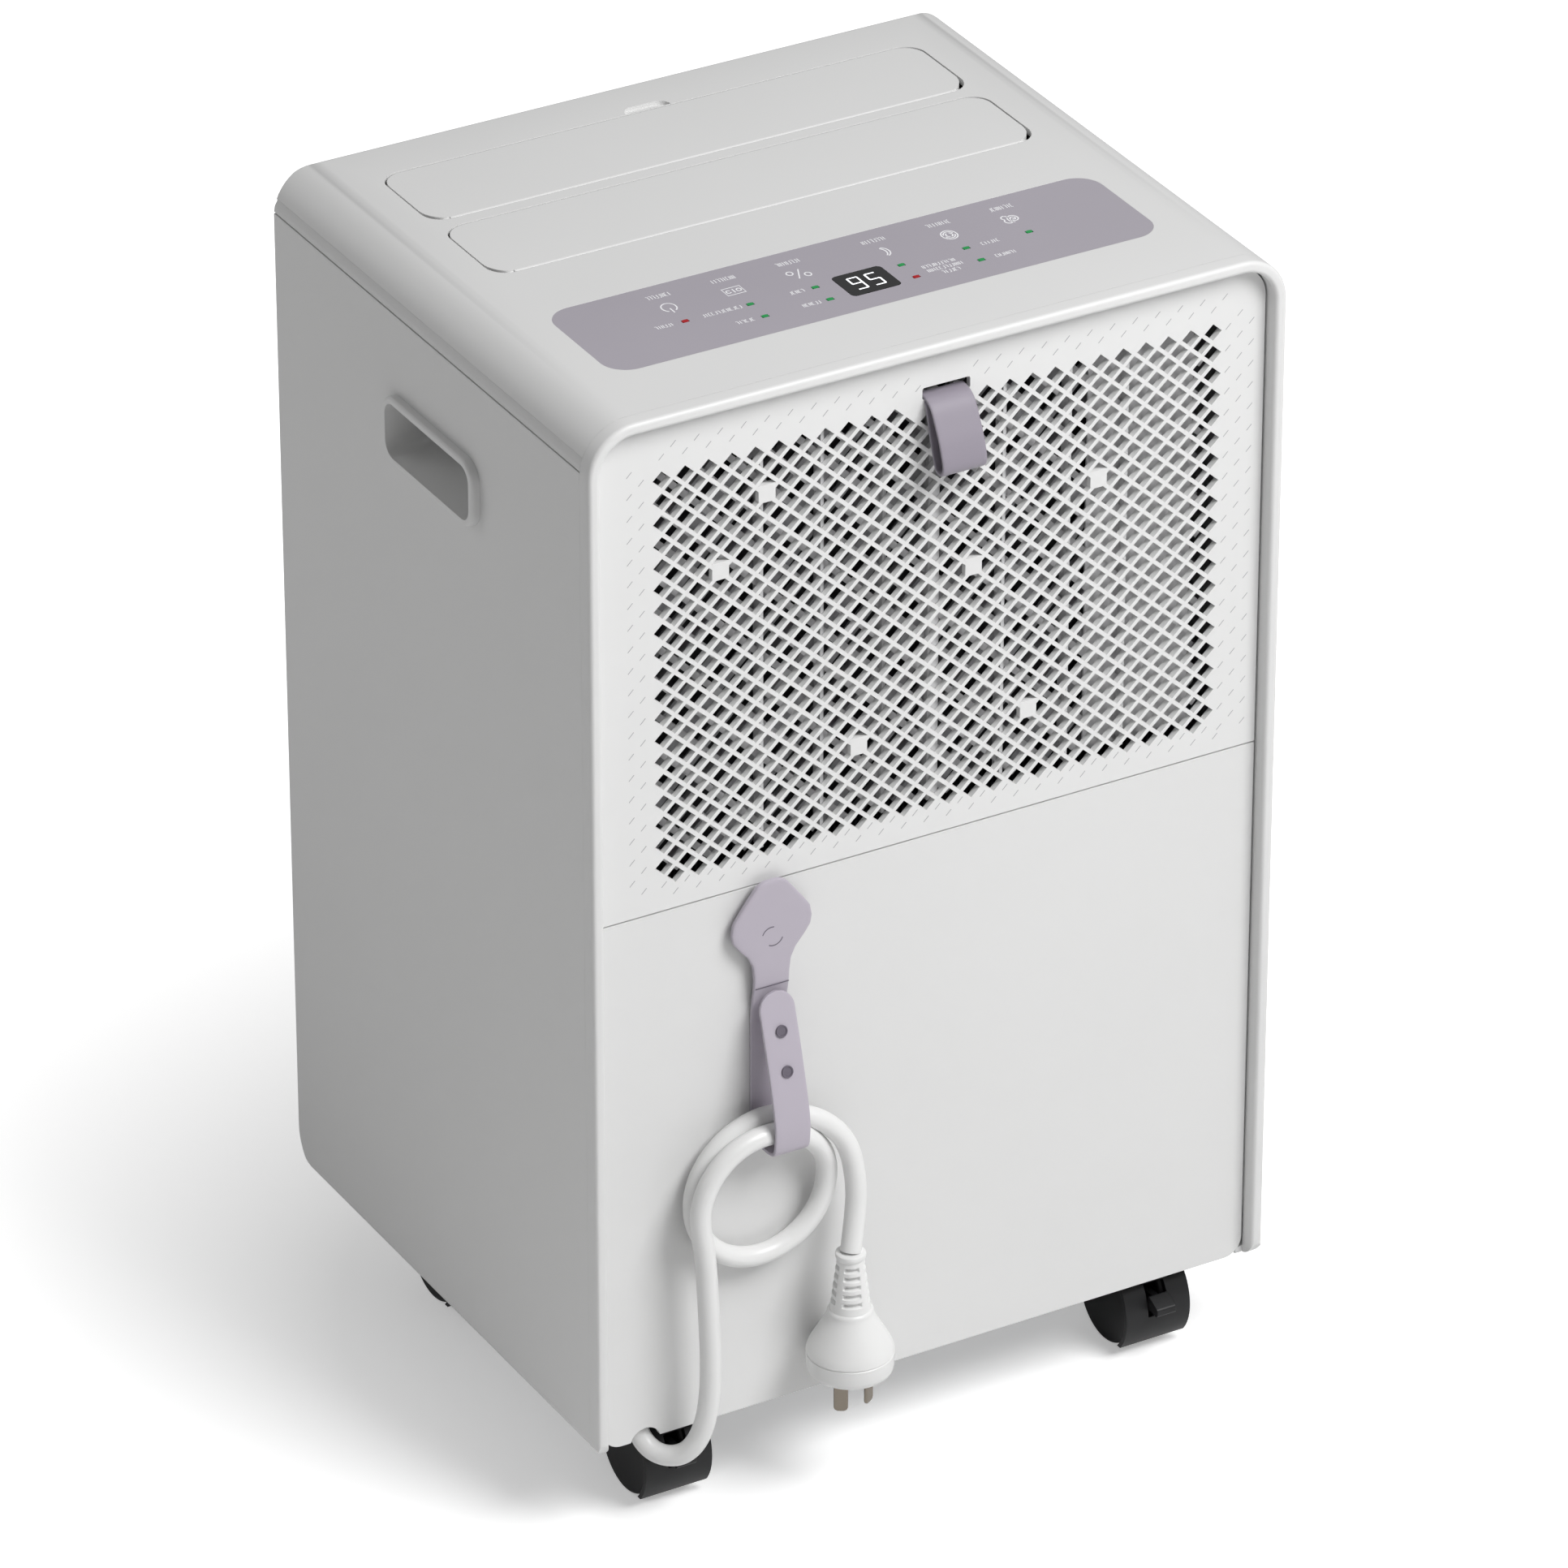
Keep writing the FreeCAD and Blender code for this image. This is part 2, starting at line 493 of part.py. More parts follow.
def tank_cover(skin):
    """Front of the tank: follows the casing round its toe, with a finger grip and a level window."""
    half = SIDE - CORNER_RETURN - 0.5
    cover = skin.common(box(-half, half, FRONT - 1, FRONT + 22, BOTTOM - 1, FRONT_SEAM - GROOVE))
    x0, x1, z0, z1 = GRIP
    cup = prism(rect(x0, x1, z0, z1, 8), "y", FRONT + 1, FRONT + GRIP_DEPTH)
    scoop = prism(rect(x0 + 2, x1 - 2, z0 + 2, z1 - 2, 6), "y", FRONT - 1, FRONT + GRIP_DEPTH - 2)
    pads = [box(x - 10, x + 10, FRONT + WALL - 0.5, TANK[2], BOTTOM + 100, BOTTOM + 120) for x in (-70, 70)]
    cover = joined([cover, cup] + pads).cut(scoop)
    return cover.cut(prism(WINDOW, "y", FRONT - 1, FRONT + WALL + 1))


def tank_window():
    pane = prism(WINDOW, "y", FRONT + 0.6, FRONT + WALL)
    back = rect(WINDOW[0][0] - 3, WINDOW[1][0] + 3, WINDOW[0][1] - 3, WINDOW[2][1] + 3, 8)
    return joined([pane, prism(back, "y", FRONT + WALL, FRONT + WALL + 1.2)])


def tank_bail():
    """Carrying handle: a bar on two arms that turn on bosses at the tank's sides."""
    arm_low, arm_high = TANK[1] + 0.3, TANK[1] + 3.0
    bar_y, bar_z = BAIL_Y - BAIL_REACH, TANK[5] + BAIL_R + 1.5
    slope = math.atan2(bar_z - BAIL_Z, BAIL_REACH)
    up = V(0, 3.2 * math.sin(slope), 3.2 * math.cos(slope))
    arm = prism([(BAIL_Y + 4.6, BAIL_Z - 4.6, 4.4), (BAIL_Y + 4.6, BAIL_Z + 4.6, 4.4),
                 (bar_y - 3 + up.y, bar_z + up.z, 1.5), (bar_y - 3 - up.y, bar_z - up.z, 1.5)],
                "x", arm_low, arm_high)
    arm = arm.cut(rod(2.8 + RUNNING, "x", arm_low - 1, arm_high + 1, BAIL_Y, BAIL_Z))
    bar = rod(BAIL_R, "x", -arm_high, arm_high, bar_y, bar_z)
    grip = rod(BAIL_R + 1.4, "x", -45, 45, bar_y, bar_z)
    return joined([arm, mirrored(arm), bar, grip])


def tank_float():
    """Level float on a short arm; when it rises it opens the tank-full circuit."""
    body = prism(rect(FLOAT_Y - 40, FLOAT_Y - 8, FLOAT_Z - 8, FLOAT_Z + 6, 3), "x", 118, 144)
    arm = box(127, 135, FLOAT_Y - 9, FLOAT_Y, FLOAT_Z - 1.5, FLOAT_Z + 1.5)
    pin = rod(1.5, "x", 111, 149, FLOAT_Y, FLOAT_Z)
    return joined([body, arm, pin])


def tank_switch():
    body = box(-150, -136, BAY_WALL + SHEET, BAY_WALL + SHEET + 12, BOTTOM + 120, BOTTOM + 140)
    tag = box(-146, -140, BAY_WALL + SHEET + 12, BAY_WALL + SHEET + 18, BOTTOM + 126, BOTTOM + 127)
    return joined([body, tag])


# ---- refrigeration and air path ----------------------------------------------------------------
FAN_Z = BOTTOM + 345.0
FAN_Y0, FAN_Y1 = FRONT + 42.0, MIDDLE - 8.0
FAN_R = 88.0
PIPE_X, PIPE_Y = (-30.0, 30.0), PANEL - 98.0
CONDENSER_FRONT = PANEL - 82.0
COIL_HALF = 130.0


def drip_tray():
    z0 = CEILING + SHEET
    tray = box(-138, 138, PANEL - 92, PANEL - 22, z0, z0 + 12)
    tray = tray.cut(box(-136, 136, PANEL - 90, PANEL - 24, z0 + 2, z0 + 13))
    channel = box(-12, 12, SPOUT[1] - 10, PANEL - 91, z0, z0 + 12)
    channel = channel.cut(box(-10, 10, SPOUT[1] - 8, PANEL - 80, z0 + 2, z0 + 13))
    tube = rod(6.5, "z", CEILING - 2, z0 + 1, *SPOUT)
    tray = joined([tray, channel, tube])
    tray = tray.cut(box(-10, 10, PANEL - 95, PANEL - 88, z0 + 2, z0 + 13))
    return tray.cut(rod(5, "z", CEILING - 3, z0 + 13, *SPOUT))


def heat_exchanger(y0, y1, z1):
    """Finned block between two end plates, with its return bends."""
    z0 = CEILING + SHEET + 14
    parts = [box(-COIL_HALF, COIL_HALF, y0, y1, z0, z1)]
    for sign in (1, -1):
        low, high = sorted((sign * COIL_HALF, sign * (COIL_HALF + 1.5)))
        parts.append(box(low, high, y0 - 1, y1 + 1, z0 - 1, z1 + 3))
    rows = 7
    for i in range(rows):
        z = z0 + (z1 - z0) * (i + 0.5) / rows
        bend = Part.makeTorus(6, 2.5, V(COIL_HALF + 1.5, (y0 + y1) / 2, z), V(0, 1, 0), 0, 360)
        parts.append(bend.common(box(COIL_HALF + 1, COIL_HALF + 20, y0, y1, z - 20, z + 20)))
    return joined(parts)


def fan_scroll():
    """Volute: a drum round the wheel that opens upward to the outlet."""
    t = SHEET
    r = FAN_R + 12
    outer = rod(r, "y", FAN_Y0, FAN_Y1, 0, FAN_Z).fuse(box(-r, r, FAN_Y0, FAN_Y1, FAN_Z, TOP - 29))
    cavity = rod(r - t, "y", FAN_Y0 + t, FAN_Y1 - t, 0, FAN_Z)
    cavity = cavity.fuse(box(-r + t, r - t, FAN_Y0 + t, FAN_Y1 - t, FAN_Z, TOP - 28))
    inlet = rod(FAN_R - 16, "y", FAN_Y1 - t - 1, FAN_Y1 + 1, 0, FAN_Z)
    shaft = rod(12, "y", FAN_Y0 - 1, FAN_Y0 + t + 1, 0, FAN_Z)
    return outer.cut(cavity).cut(inlet).cut(shaft).removeSplitter()


def fan_wheel():
    y0, y1 = FAN_Y0 + 7, FAN_Y1 - 7
    disc = rod(FAN_R, "y", y0, y0 + 2, 0, FAN_Z)
    hub = rod(11, "y", y0, y0 + 22, 0, FAN_Z)
    band = ring(FAN_R, FAN_R - 3, "y", y1 - 3, y1, 0, FAN_Z)
    blade_count = 24
    parts = [disc, hub, band]
    blade = box(FAN_R - 15, FAN_R - 1, y0 + 1, y1 - 1, FAN_Z - 0.8, FAN_Z + 0.8)
    blade.rotate(V(FAN_R - 8, 0, FAN_Z), AXES["y"], 35)
    for i in range(blade_count):
        copy = blade.copy()
        copy.rotate(V(0, 0, FAN_Z), AXES["y"], i * 360.0 / blade_count)
        parts.append(copy)
    return joined(parts).cut(rod(4 + RUNNING / 2, "y", y0 - 1, y0 + 30, 0, FAN_Z))


def fan_motor():
    y0 = FRONT + WALL + 4
    can = rod(38, "y", y0, FAN_Y0 - 2, 0, FAN_Z)
    can = can.makeFillet(4, [e for e in can.Edges if e.BoundBox.YLength < 1e-3])
    flange = ring(50, 20, "y", FAN_Y0 - 2.2, FAN_Y0 - 0.1, 0, FAN_Z)
    shaft = rod(4, "y", FAN_Y0 - 3, FAN_Y0 + 24, 0, FAN_Z)
    return joined([can, flange, shaft])


COMPRESSOR = (62.0, MIDDLE + 62.0)
COMPRESSOR_R = 50.0


def compressor():
    x, y = COMPRESSOR
    z0 = BASE + WALL + 8
    shell = rod(COMPRESSOR_R, "z", z0 + 3, z0 + 165, x, y)
    top = [e for e in shell.Edges if e.BoundBox.ZLength < 1e-3]
    shell = shell.makeFillet(18, top)
    foot = prism([(x - 56, y - 42, 8), (x + 56, y - 42, 8), (x, y + 50, 8)], "z", z0, z0 + 3.5)
    neck = rod(5, "z", z0 + 160, z0 + 172, x + 12, y - 8)
    receiver = rod(18, "z", z0 + 30, z0 + 130, x - 74, y + 4)
    bracket = box(x - 60, x - 44, y - 2, y + 10, z0 + 70, z0 + 84)
    body = joined([shell, foot, neck, receiver, bracket])
    for u, v in grommet_places():
        body = body.cut(rod(5, "z", z0 - 1, z0 + 5, u, v))
    return body


def grommet_places():
    x, y = COMPRESSOR
    return [(x - 40, y - 33), (x + 40, y - 33), (x, y + 32)]


def compressor_grommets():
    z0 = BASE + WALL
    feet = [ring(9, 3, "z", z0, z0 + 7.9, u, v) for u, v in grommet_places()[:2]]
    feet.append(ring(9, 3, "z", z0, z0 + 7.9, *grommet_places()[2]))
    return Part.Compound(feet)


def tube(points, diameter, radii=None):
    """A pipe along straight runs joined by tangent arcs; returns the solid, its path and its radii."""
    edges, used = [], []
    start = points[0]
    for i in range(1, len(points) - 1):
        before, here, after = points[i - 1], points[i], points[i + 1]
        a, b = before - here, after - here
        run = min(a.Length, b.Length)
        a.normalize()
        b.normalize()
        turn = math.pi - math.acos(max(-1.0, min(1.0, a.dot(b))))
        radius = 0.45 * run / math.tan(turn / 2) if radii is None else radii
        reach = radius * math.tan(turn / 2)
        inward = a + b
        inward.normalize()
        middle = here + inward * (radius / math.cos(turn / 2) - radius)
        first, last = here + a * reach, here + b * reach
        edges.append(Part.LineSegment(start, first).toShape())
        edges.append(Part.Arc(first, middle, last).toShape())
        start = last
        used.append(radius)
    edges.append(Part.LineSegment(start, points[-1]).toShape())
    path = Part.Wire(edges)
    along = points[1] - points[0]
    section = Part.Wire([Part.makeCircle(diameter / 2, points[0], along)])
    return path.makePipeShell([section], True, False), path, used


def refrigerant_pipes():
    x, y = COMPRESSOR
    z0 = BASE + WALL + 8
    shelf = CEILING + SHEET
    routes = [
        [V(x + 12, y - 8, z0 + 173), V(x + 12, y - 8, z0 + 186), V(PIPE_X[1], PIPE_Y, z0 + 190),
         V(PIPE_X[1], PIPE_Y, shelf + 75), V(PIPE_X[1], CONDENSER_FRONT, shelf + 75)],
        [V(x - 74, y + 4, z0 + 131), V(x - 74, y + 4, z0 + 170), V(PIPE_X[0], PIPE_Y, z0 + 186),
         V(PIPE_X[0], PIPE_Y, shelf + 50), V(PIPE_X[0], CONDENSER_FRONT, shelf + 50)],
    ]
    return Part.Compound([tube(route, 6.0, 5.5)[0] for route in routes])


def control_board():
    board = box(146, 147.6, FRONT + 20, MIDDLE - 44, CEILING + 30, CEILING + 150)
    blocks = [box(132, 146, FRONT + 26 + 26 * i, FRONT + 44 + 26 * i, CEILING + 40, CEILING + 62)
              for i in range(2)]
    relays = [box(134, 146, FRONT + 30, FRONT + 48, CEILING + 80 + 24 * i, CEILING + 98 + 24 * i)
              for i in range(2)]
    return joined([board] + blocks + relays)


def run_capacitor():
    can = rod(20, "z", BASE + WALL, BASE + WALL + 72, -112, MIDDLE + 48)
    return joined([can.makeFillet(2, [e for e in can.Edges if e.BoundBox.ZMin > BASE + 60]),
                   box(-119, -116, MIDDLE + 45, MIDDLE + 51, BASE + WALL + 72, BASE + WALL + 80),
                   box(-108, -105, MIDDLE + 45, MIDDLE + 51, BASE + WALL + 72, BASE + WALL + 80)])


# ---- casters -----------------------------------------------------------------------------------
WHEEL_R, WHEEL_W = 21.0, 11.0
HOOD_R, HOOD_W, HOOD_T = 24.0, 33.0, 2.0
TRAIL = 14.0
FORK_HALF = 2.5


def caster_fork(x, y, stem_top):
    """Hooded fork: stem, central web with the axle hole, and the hood over the rear of both wheels.

    The front stems are short, because the tank stands over them.
    """
    axle_y, axle_z = y + TRAIL, WHEEL_R
    stem = rod(STEM_R, "z", HOOD_R + 17, stem_top, x, y)
    collar = rod(7.5, "z", HOOD_R + 13, BASE - 0.6, x, y)
    web = prism([(y - 7, BASE - 4, 2), (y - 7, 30, 4), (axle_y - 6, axle_z - 6, 5), (axle_y + 6, axle_z - 6, 5),
                 (axle_y + 6, axle_z + 20, 3), (y + 6, BASE - 4, 2)], "x", x - FORK_HALF, x + FORK_HALF)
    half = HOOD_W / 2
    hood = ring(HOOD_R, HOOD_R - HOOD_T, "x", x - half, x + half, axle_y, axle_z)
    hood = hood.common(box(x - half, x + half, axle_y - 2, axle_y + HOOD_R + 1, 6.0, 60))
    fork = joined([stem, collar, web, hood])
    wells = Part.Compound([rod(WHEEL_R + 0.6, "x", x + s * 9.0 - 6.2, x + s * 9.0 + 6.2, axle_y, axle_z)
                           for s in (1, -1)])
    fork = fork.cut(wells)
    return fork.cut(rod(2.5 + RUNNING, "x", x - 6, x + 6, axle_y, axle_z))


def with_brake_slot(fork, x, y):
    """Opening in the hood, and room in the web, for the brake lever's swing."""
    axle_y = y + TRAIL
    slot = box(x - 5.2, x + 5.2, axle_y + 14, axle_y + HOOD_R + 1, WHEEL_R + 0.5, WHEEL_R + 15)
    return fork.cut(slot)


def caster_wheels(x, y):
    """Two treaded discs on one axle."""
    axle_y, axle_z = y + TRAIL, WHEEL_R
    parts = [rod(2.5, "x", x - 14, x + 14, axle_y, axle_z)]
    for sign in (1, -1):
        inner, outer = x + sign * 3.4, x + sign * (3.4 + WHEEL_W)
        low, high = sorted((inner, outer))
        disc = rod(WHEEL_R, "x", low, high, axle_y, axle_z)
        parts.append(disc.makeFillet(2.2, [e for e in disc.Edges if e.BoundBox.XLength < 1e-3]))
    return joined(parts)


def caster_brake(x, y):
    """Toe tab outside the hood on an arm that turns about a pin through the web."""
    axle_y, axle_z = y + TRAIL, WHEEL_R
    tab = prism([(axle_y + 22.5, axle_z + 11.5, 1), (axle_y + 22.5, axle_z + 4.5, 1),
                 (axle_y + 31, axle_z + 3.5, 1.5), (axle_y + 31, axle_z + 7.5, 1.5)], "x", x - 4.8, x + 4.8)
    arm = prism([(BRAKE_DY + axle_y - 2.2, axle_z + BRAKE_DZ - 2.2, 1.5),
                 (BRAKE_DY + axle_y + 2.2, axle_z + BRAKE_DZ - 2.2, 0),
                 (axle_y + 24, axle_z + 5.5, 0), (axle_y + 24, axle_z + 9.5, 0),
                 (BRAKE_DY + axle_y - 2.2, axle_z + BRAKE_DZ + 2.2, 1.5)], "x", x - 1.6, x + 1.6)
    return joined([tab, arm])


BRAKE_DY, BRAKE_DZ = 12.0, 6.0


# ---- cord, strap and plug ----------------------------------------------------------------------
def cord_gland():
    """Short bush under the base pan that the cord leaves through, pointing down; flat beside the panel."""
    flange = ring(9.5, CORD_D / 2, "z", BASE - 2.0, BASE, GLAND_X, GLAND_Y)
    barrel = ring(7.8, CORD_D / 2, "z", BASE, BASE + 12, GLAND_X, GLAND_Y)
    flat = box(GLAND_X - 20, GLAND_X + 20, GLAND_Y - 20, PANEL - PANEL_T - 0.15, BASE - 3, BASE + 13)
    return joined([flange, barrel]).common(flat)


def cord_strap():
    """Silicone strap: head plate on a puck, back layer, loop under the coil, buttoned front layer."""
    head_low, head_high = PANEL + 2.0, PANEL + 5.0
    z = BOTTOM
    head = prism([(STRAP_X - 7, z + 266, 6.5), (STRAP_X - 20.5, z + 244, 7), (STRAP_X - 8.5, z + 226, 9),
                  (STRAP_X - 8.5, z + 212, 0), (STRAP_X + 8.5, z + 212, 0), (STRAP_X + 8.5, z + 226, 9),
                  (STRAP_X + 20.5, z + 244, 7), (STRAP_X + 7, z + 266, 6.5)], "y", head_low, head_high)
    puck = rod(11, "y", PANEL, head_low + 0.5, STRAP_X, z + 243)
    low, high = STRAP_X - STRAP_W / 2, STRAP_X + STRAP_W / 2
    t = STRAP_T
    out = REAR + STRAP_PROUD
    lap = PANEL + 5.0
    outer = [(PANEL, z + 213, 0), (PANEL, z + 138.0, 7), (out, z + 138.0, 8), (out, z + 159, 14),
             (lap + t, z + 203, 10), (lap + t, z + 209, 0), (lap, z + 209, 0), (lap, z + 216, 0),
             (PANEL + 2, z + 216, 0)]
    inner = [(PANEL + t, z + 205, 0.8), (PANEL + t, z + 138.0 + t, 5.1), (out - t, z + 138.0 + t, 6.1),
             (out - t, z + 158.5, 12), (lap - 1.3, z + 207, 0.4)]
    loop = prism(outer, "x", low, high).cut(prism(inner, "x", low - 1, high + 1))
    tongue = prism(rect(low, high, z + 190, z + 209, (0, 0, 8.4, 8.4)), "y", PANEL, out)
    loop = loop.cut(box(low - 1, high + 1, lap, out + 1, z + 200, z + 210).cut(tongue))
    for hole_z in STRAP_HOLES:
        loop = loop.cut(rod(2.1, "y", lap + 1, out + 1, STRAP_X, hole_z))
    return joined([head, puck, loop])


def cord_coil():
    """Outer shape of the coil: two turns side by side."""
    r = CORD_D / 2
    circle = [V(COIL_X + COIL_R, y, COIL_Z) for y in (BACK_LAYER, FRONT_LAYER)]
    left, right = V(COIL_X + COIL_R - r, 0, COIL_Z), V(COIL_X + COIL_R + r, 0, COIL_Z)
    edges = [Part.Arc(V(right.x, circle[1].y, COIL_Z), V(circle[1].x, circle[1].y + r, COIL_Z),
                      V(left.x, circle[1].y, COIL_Z)).toShape(),
             Part.LineSegment(V(left.x, circle[1].y, COIL_Z), V(left.x, circle[0].y, COIL_Z)).toShape(),
             Part.Arc(V(left.x, circle[0].y, COIL_Z), V(circle[0].x, circle[0].y - r, COIL_Z),
                      V(right.x, circle[0].y, COIL_Z)).toShape(),
             Part.LineSegment(V(right.x, circle[0].y, COIL_Z), V(right.x, circle[1].y, COIL_Z)).toShape()]
    return Part.Face(Part.Wire(edges)).revolve(V(COIL_X, 0, COIL_Z), AXES["y"], 360)


# Routes of the two uncoiled stretches, from the gland up to the coil, and from the coil to the plug.
TAIL_ROUTE = [V(GLAND_X, GLAND_Y, BASE - 2.0), V(GLAND_X - 0.5, GLAND_Y + 2.5, 40.5),
              V(GLAND_X - 5.5, GLAND_Y + 11.0, 34.5), V(GLAND_X - 13.5, GLAND_Y + 19.5, 37.0),
              V(GLAND_X - 19.5, GLAND_Y + 24.0, 48.0), V(GLAND_X - 22.5, GLAND_Y + 26.0, 66.0),
              V(GLAND_X - 22.5, GLAND_Y + 27.0, 90.0), V(GLAND_X - 21.4, GLAND_Y + 26.5, 118.0),
              V(COIL_X + COIL_R + 0.9, FRONT_LAYER + 0.2, COIL_Z - 22.5)]
DROP_ROUTE = [V(COIL_X - 37.8, FRONT_LAYER, COIL_Z + 10.0), V(COIL_X - 39.8, FRONT_LAYER + 0.3, COIL_Z - 8.0),
              V(COIL_X - 38.6, FRONT_LAYER + 2.2, COIL_Z - 26.0), V(PLUG_X, PLUG_Y, RELIEF_TOP)]


def cord_length_report(name, route):
    solid, path, radii = tube(route, CORD_D)
    swept = math.pi * CORD_D ** 2 / 4 * path.Length
    print(name, "length", round(path.Length, 1), "radii", [round(r, 1) for r in radii],
          "volume ratio", round(solid.Volume / swept, 4))
    return solid


def strain_relief():
    """Tapered, ribbed sleeve moulded on the cord above the plug."""
    profile = [(0.0, RELIEF_TOP), (5.6, RELIEF_TOP)]
    ribs = 5
    step = (RELIEF_TOP - PLUG_TOP - 4) / ribs
    for i in range(ribs):
        z = RELIEF_TOP - 3 - i * step
        r = 6.3 + 0.35 * i
        profile += [(r, z), (r, z - step * 0.55), (r - 1.3, z - step * 0.6), (r - 1.3, z - step * 0.95)]
    profile += [(8.4, PLUG_TOP + 0.6), (8.4, PLUG_TOP), (0.0, PLUG_TOP)]
    return turned(profile, "z", PLUG_X, PLUG_Y)


PLUG_R = 19.5


def plug_body():
    """Bell-shaped moulding with a flat, round base."""
    profile = [(0.0, PLUG_TOP), (9.6, PLUG_TOP), (10.6, PLUG_TOP - 3.5), (13.0, PLUG_TOP - 7.5),
               (17.6, PLUG_TOP - 13.5), (PLUG_R, PLUG_TOP - 18.0), (PLUG_R, PLUG_BASE + 2.5),
               (PLUG_R - 2.5, PLUG_BASE), (0.0, PLUG_BASE)]
    return turned(profile, "z", PLUG_X, PLUG_Y)


def plug_pins():
    """Three flat blades, two of them splayed."""
    blades = []
    for angle, turn in ((150, 120), (30, 60), (270, 0)):
        u = PLUG_X + 8.0 * math.cos(math.radians(angle))
        v = PLUG_Y + 8.0 * math.sin(math.radians(angle))
        blade = box(u - 0.8, u + 0.8, v - 3.15, v + 3.15, PIN_TIP, PLUG_BASE)
        blade.rotate(V(u, v, 0), AXES["z"], turn)
        blades.append(blade)
    return Part.Compound(blades)


# ---- write every node --------------------------------------------------------------------------
def main():
    skin = make_casing()
    right = side_panel(skin)
    cup = handle_cup()
    save("base_pan", base_pan())
    save("side_panel_right", right)
    save("side_panel_left", mirrored(right))
    save("top_cover", top_cover(skin))
    save("front_panel", front_panel(skin))
    save("rear_frame", rear_frame())
    save("rear_lower_panel", rear_lower_panel())
    save("filter_cover", filter_cover())
    save("filter_mesh", filter_mesh())
    save("filter_pull_strap", filter_pull_strap())
    save("handle_cup_right", cup)
    save("handle_cup_left", mirrored(cup))
    save("control_overlay", control_overlay())
    save("display_window", display_window())
    save("indicator_lamps_green", lamps(True))
    save("indicator_lamps_red", lamps(False))
    save("display_board", display_board())
    save("outlet_flap_front", outlet_flap(FLAP_FRONT_EDGES[0]))
    save("outlet_flap_rear", outlet_flap(FLAP_FRONT_EDGES[1]))
    save("outlet_link", outlet_link())
    save("outlet_grille", outlet_grille())
    save("bay_back_wall", bay_back_wall())
    save("bay_ceiling", bay_ceiling())
    save("water_tank", water_tank())
    save("tank_cover", tank_cover(skin))
    save("tank_window", tank_window())
    save("tank_bail", tank_bail())
    save("tank_float", tank_float())
    save("tank_switch", tank_switch())
    save("drip_tray", drip_tray())
    save("evaporator", heat_exchanger(PANEL - 48, PANEL - 26, BOTTOM + 470))
    save("condenser", heat_exchanger(CONDENSER_FRONT, PANEL - 56, BOTTOM + 470))
    save("fan_scroll", fan_scroll())
    save("fan_wheel", fan_wheel())
    save("fan_motor", fan_motor())
    save("compressor", compressor())
    save("compressor_grommets", compressor_grommets())
    save("refrigerant_pipes", refrigerant_pipes())
    save("control_board", control_board())
    save("run_capacitor", run_capacitor())
    for end, y, stem_top in (("rear", STEM_REAR, BASE + 19), ("front", STEM_FRONT, BASE + WALL)):
        for side, x in (("right", CASTER_X), ("left", -CASTER_X)):
            fork = caster_fork(x, y, stem_top)
            if end == "rear":
                fork = with_brake_slot(fork, x, y)
                save("caster_brake_" + side, caster_brake(x, y))
            save("caster_fork_%s_%s" % (end, side), fork)
            save("caster_wheels_%s_%s" % (end, side), caster_wheels(x, y))
    save("cord_gland", cord_gland())
    save("cord_strap", cord_strap())
    save("cord_coil", cord_coil())
    save("cord_tail", cord_length_report("cord_tail", TAIL_ROUTE))
    save("cord_drop", cord_length_report("cord_drop", DROP_ROUTE))
    save("strain_relief", strain_relief())
    save("plug_body", plug_body())
    save("plug_pins", plug_pins())


main()
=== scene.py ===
import bmesh
import bpy
import math
import numpy as np
from mathutils import Matrix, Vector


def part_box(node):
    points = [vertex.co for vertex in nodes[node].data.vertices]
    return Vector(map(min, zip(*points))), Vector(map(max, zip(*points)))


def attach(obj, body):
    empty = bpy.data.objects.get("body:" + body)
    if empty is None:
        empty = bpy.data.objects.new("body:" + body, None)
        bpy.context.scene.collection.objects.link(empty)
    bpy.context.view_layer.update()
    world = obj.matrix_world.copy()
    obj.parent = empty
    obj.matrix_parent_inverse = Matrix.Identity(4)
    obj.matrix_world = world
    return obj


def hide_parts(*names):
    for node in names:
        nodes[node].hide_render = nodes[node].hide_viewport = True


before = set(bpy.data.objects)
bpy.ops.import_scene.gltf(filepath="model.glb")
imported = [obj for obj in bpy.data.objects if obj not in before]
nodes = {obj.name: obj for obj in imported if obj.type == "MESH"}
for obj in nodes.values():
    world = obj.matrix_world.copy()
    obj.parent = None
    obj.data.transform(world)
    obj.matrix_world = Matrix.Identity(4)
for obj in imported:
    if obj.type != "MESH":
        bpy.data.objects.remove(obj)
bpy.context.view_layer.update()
mm = 0.001

# ---- Studio ------------------------------------------------------------------------------------
# The machine stands on a plain pale floor and is seen from behind, over its right shoulder.
# A long lens keeps its edges nearly parallel; one large soft light stands to the right of it.
scene = bpy.context.scene
scene.view_settings.view_transform = "Standard"


def look_from(azimuth, elevation, distance, target, across, up_shift):
    """Camera place: the unit vector (sin a cos e, -cos a cos e, sin e) times the distance,
    from the target, slid sideways and upward in the picture plane."""
    a, e = math.radians(azimuth), math.radians(elevation)
    toward = np.array([math.sin(a) * math.cos(e), -math.cos(a) * math.cos(e), math.sin(e)])
    right = np.cross(-toward, [0, 0, 1])
    right /= np.linalg.norm(right)
    up = np.cross(right, -toward)
    place = np.array(target) + toward * distance - right * across - up * up_shift
    return place, np.array([right, up, toward]).T


def aim(thing, place, axes):
    """Sets an object's matrix from its place and its three axes as columns."""
    matrix = np.eye(4)
    matrix[:3, :3] = axes
    matrix[:3, 3] = place
    thing.matrix_world = Matrix(matrix.tolist())


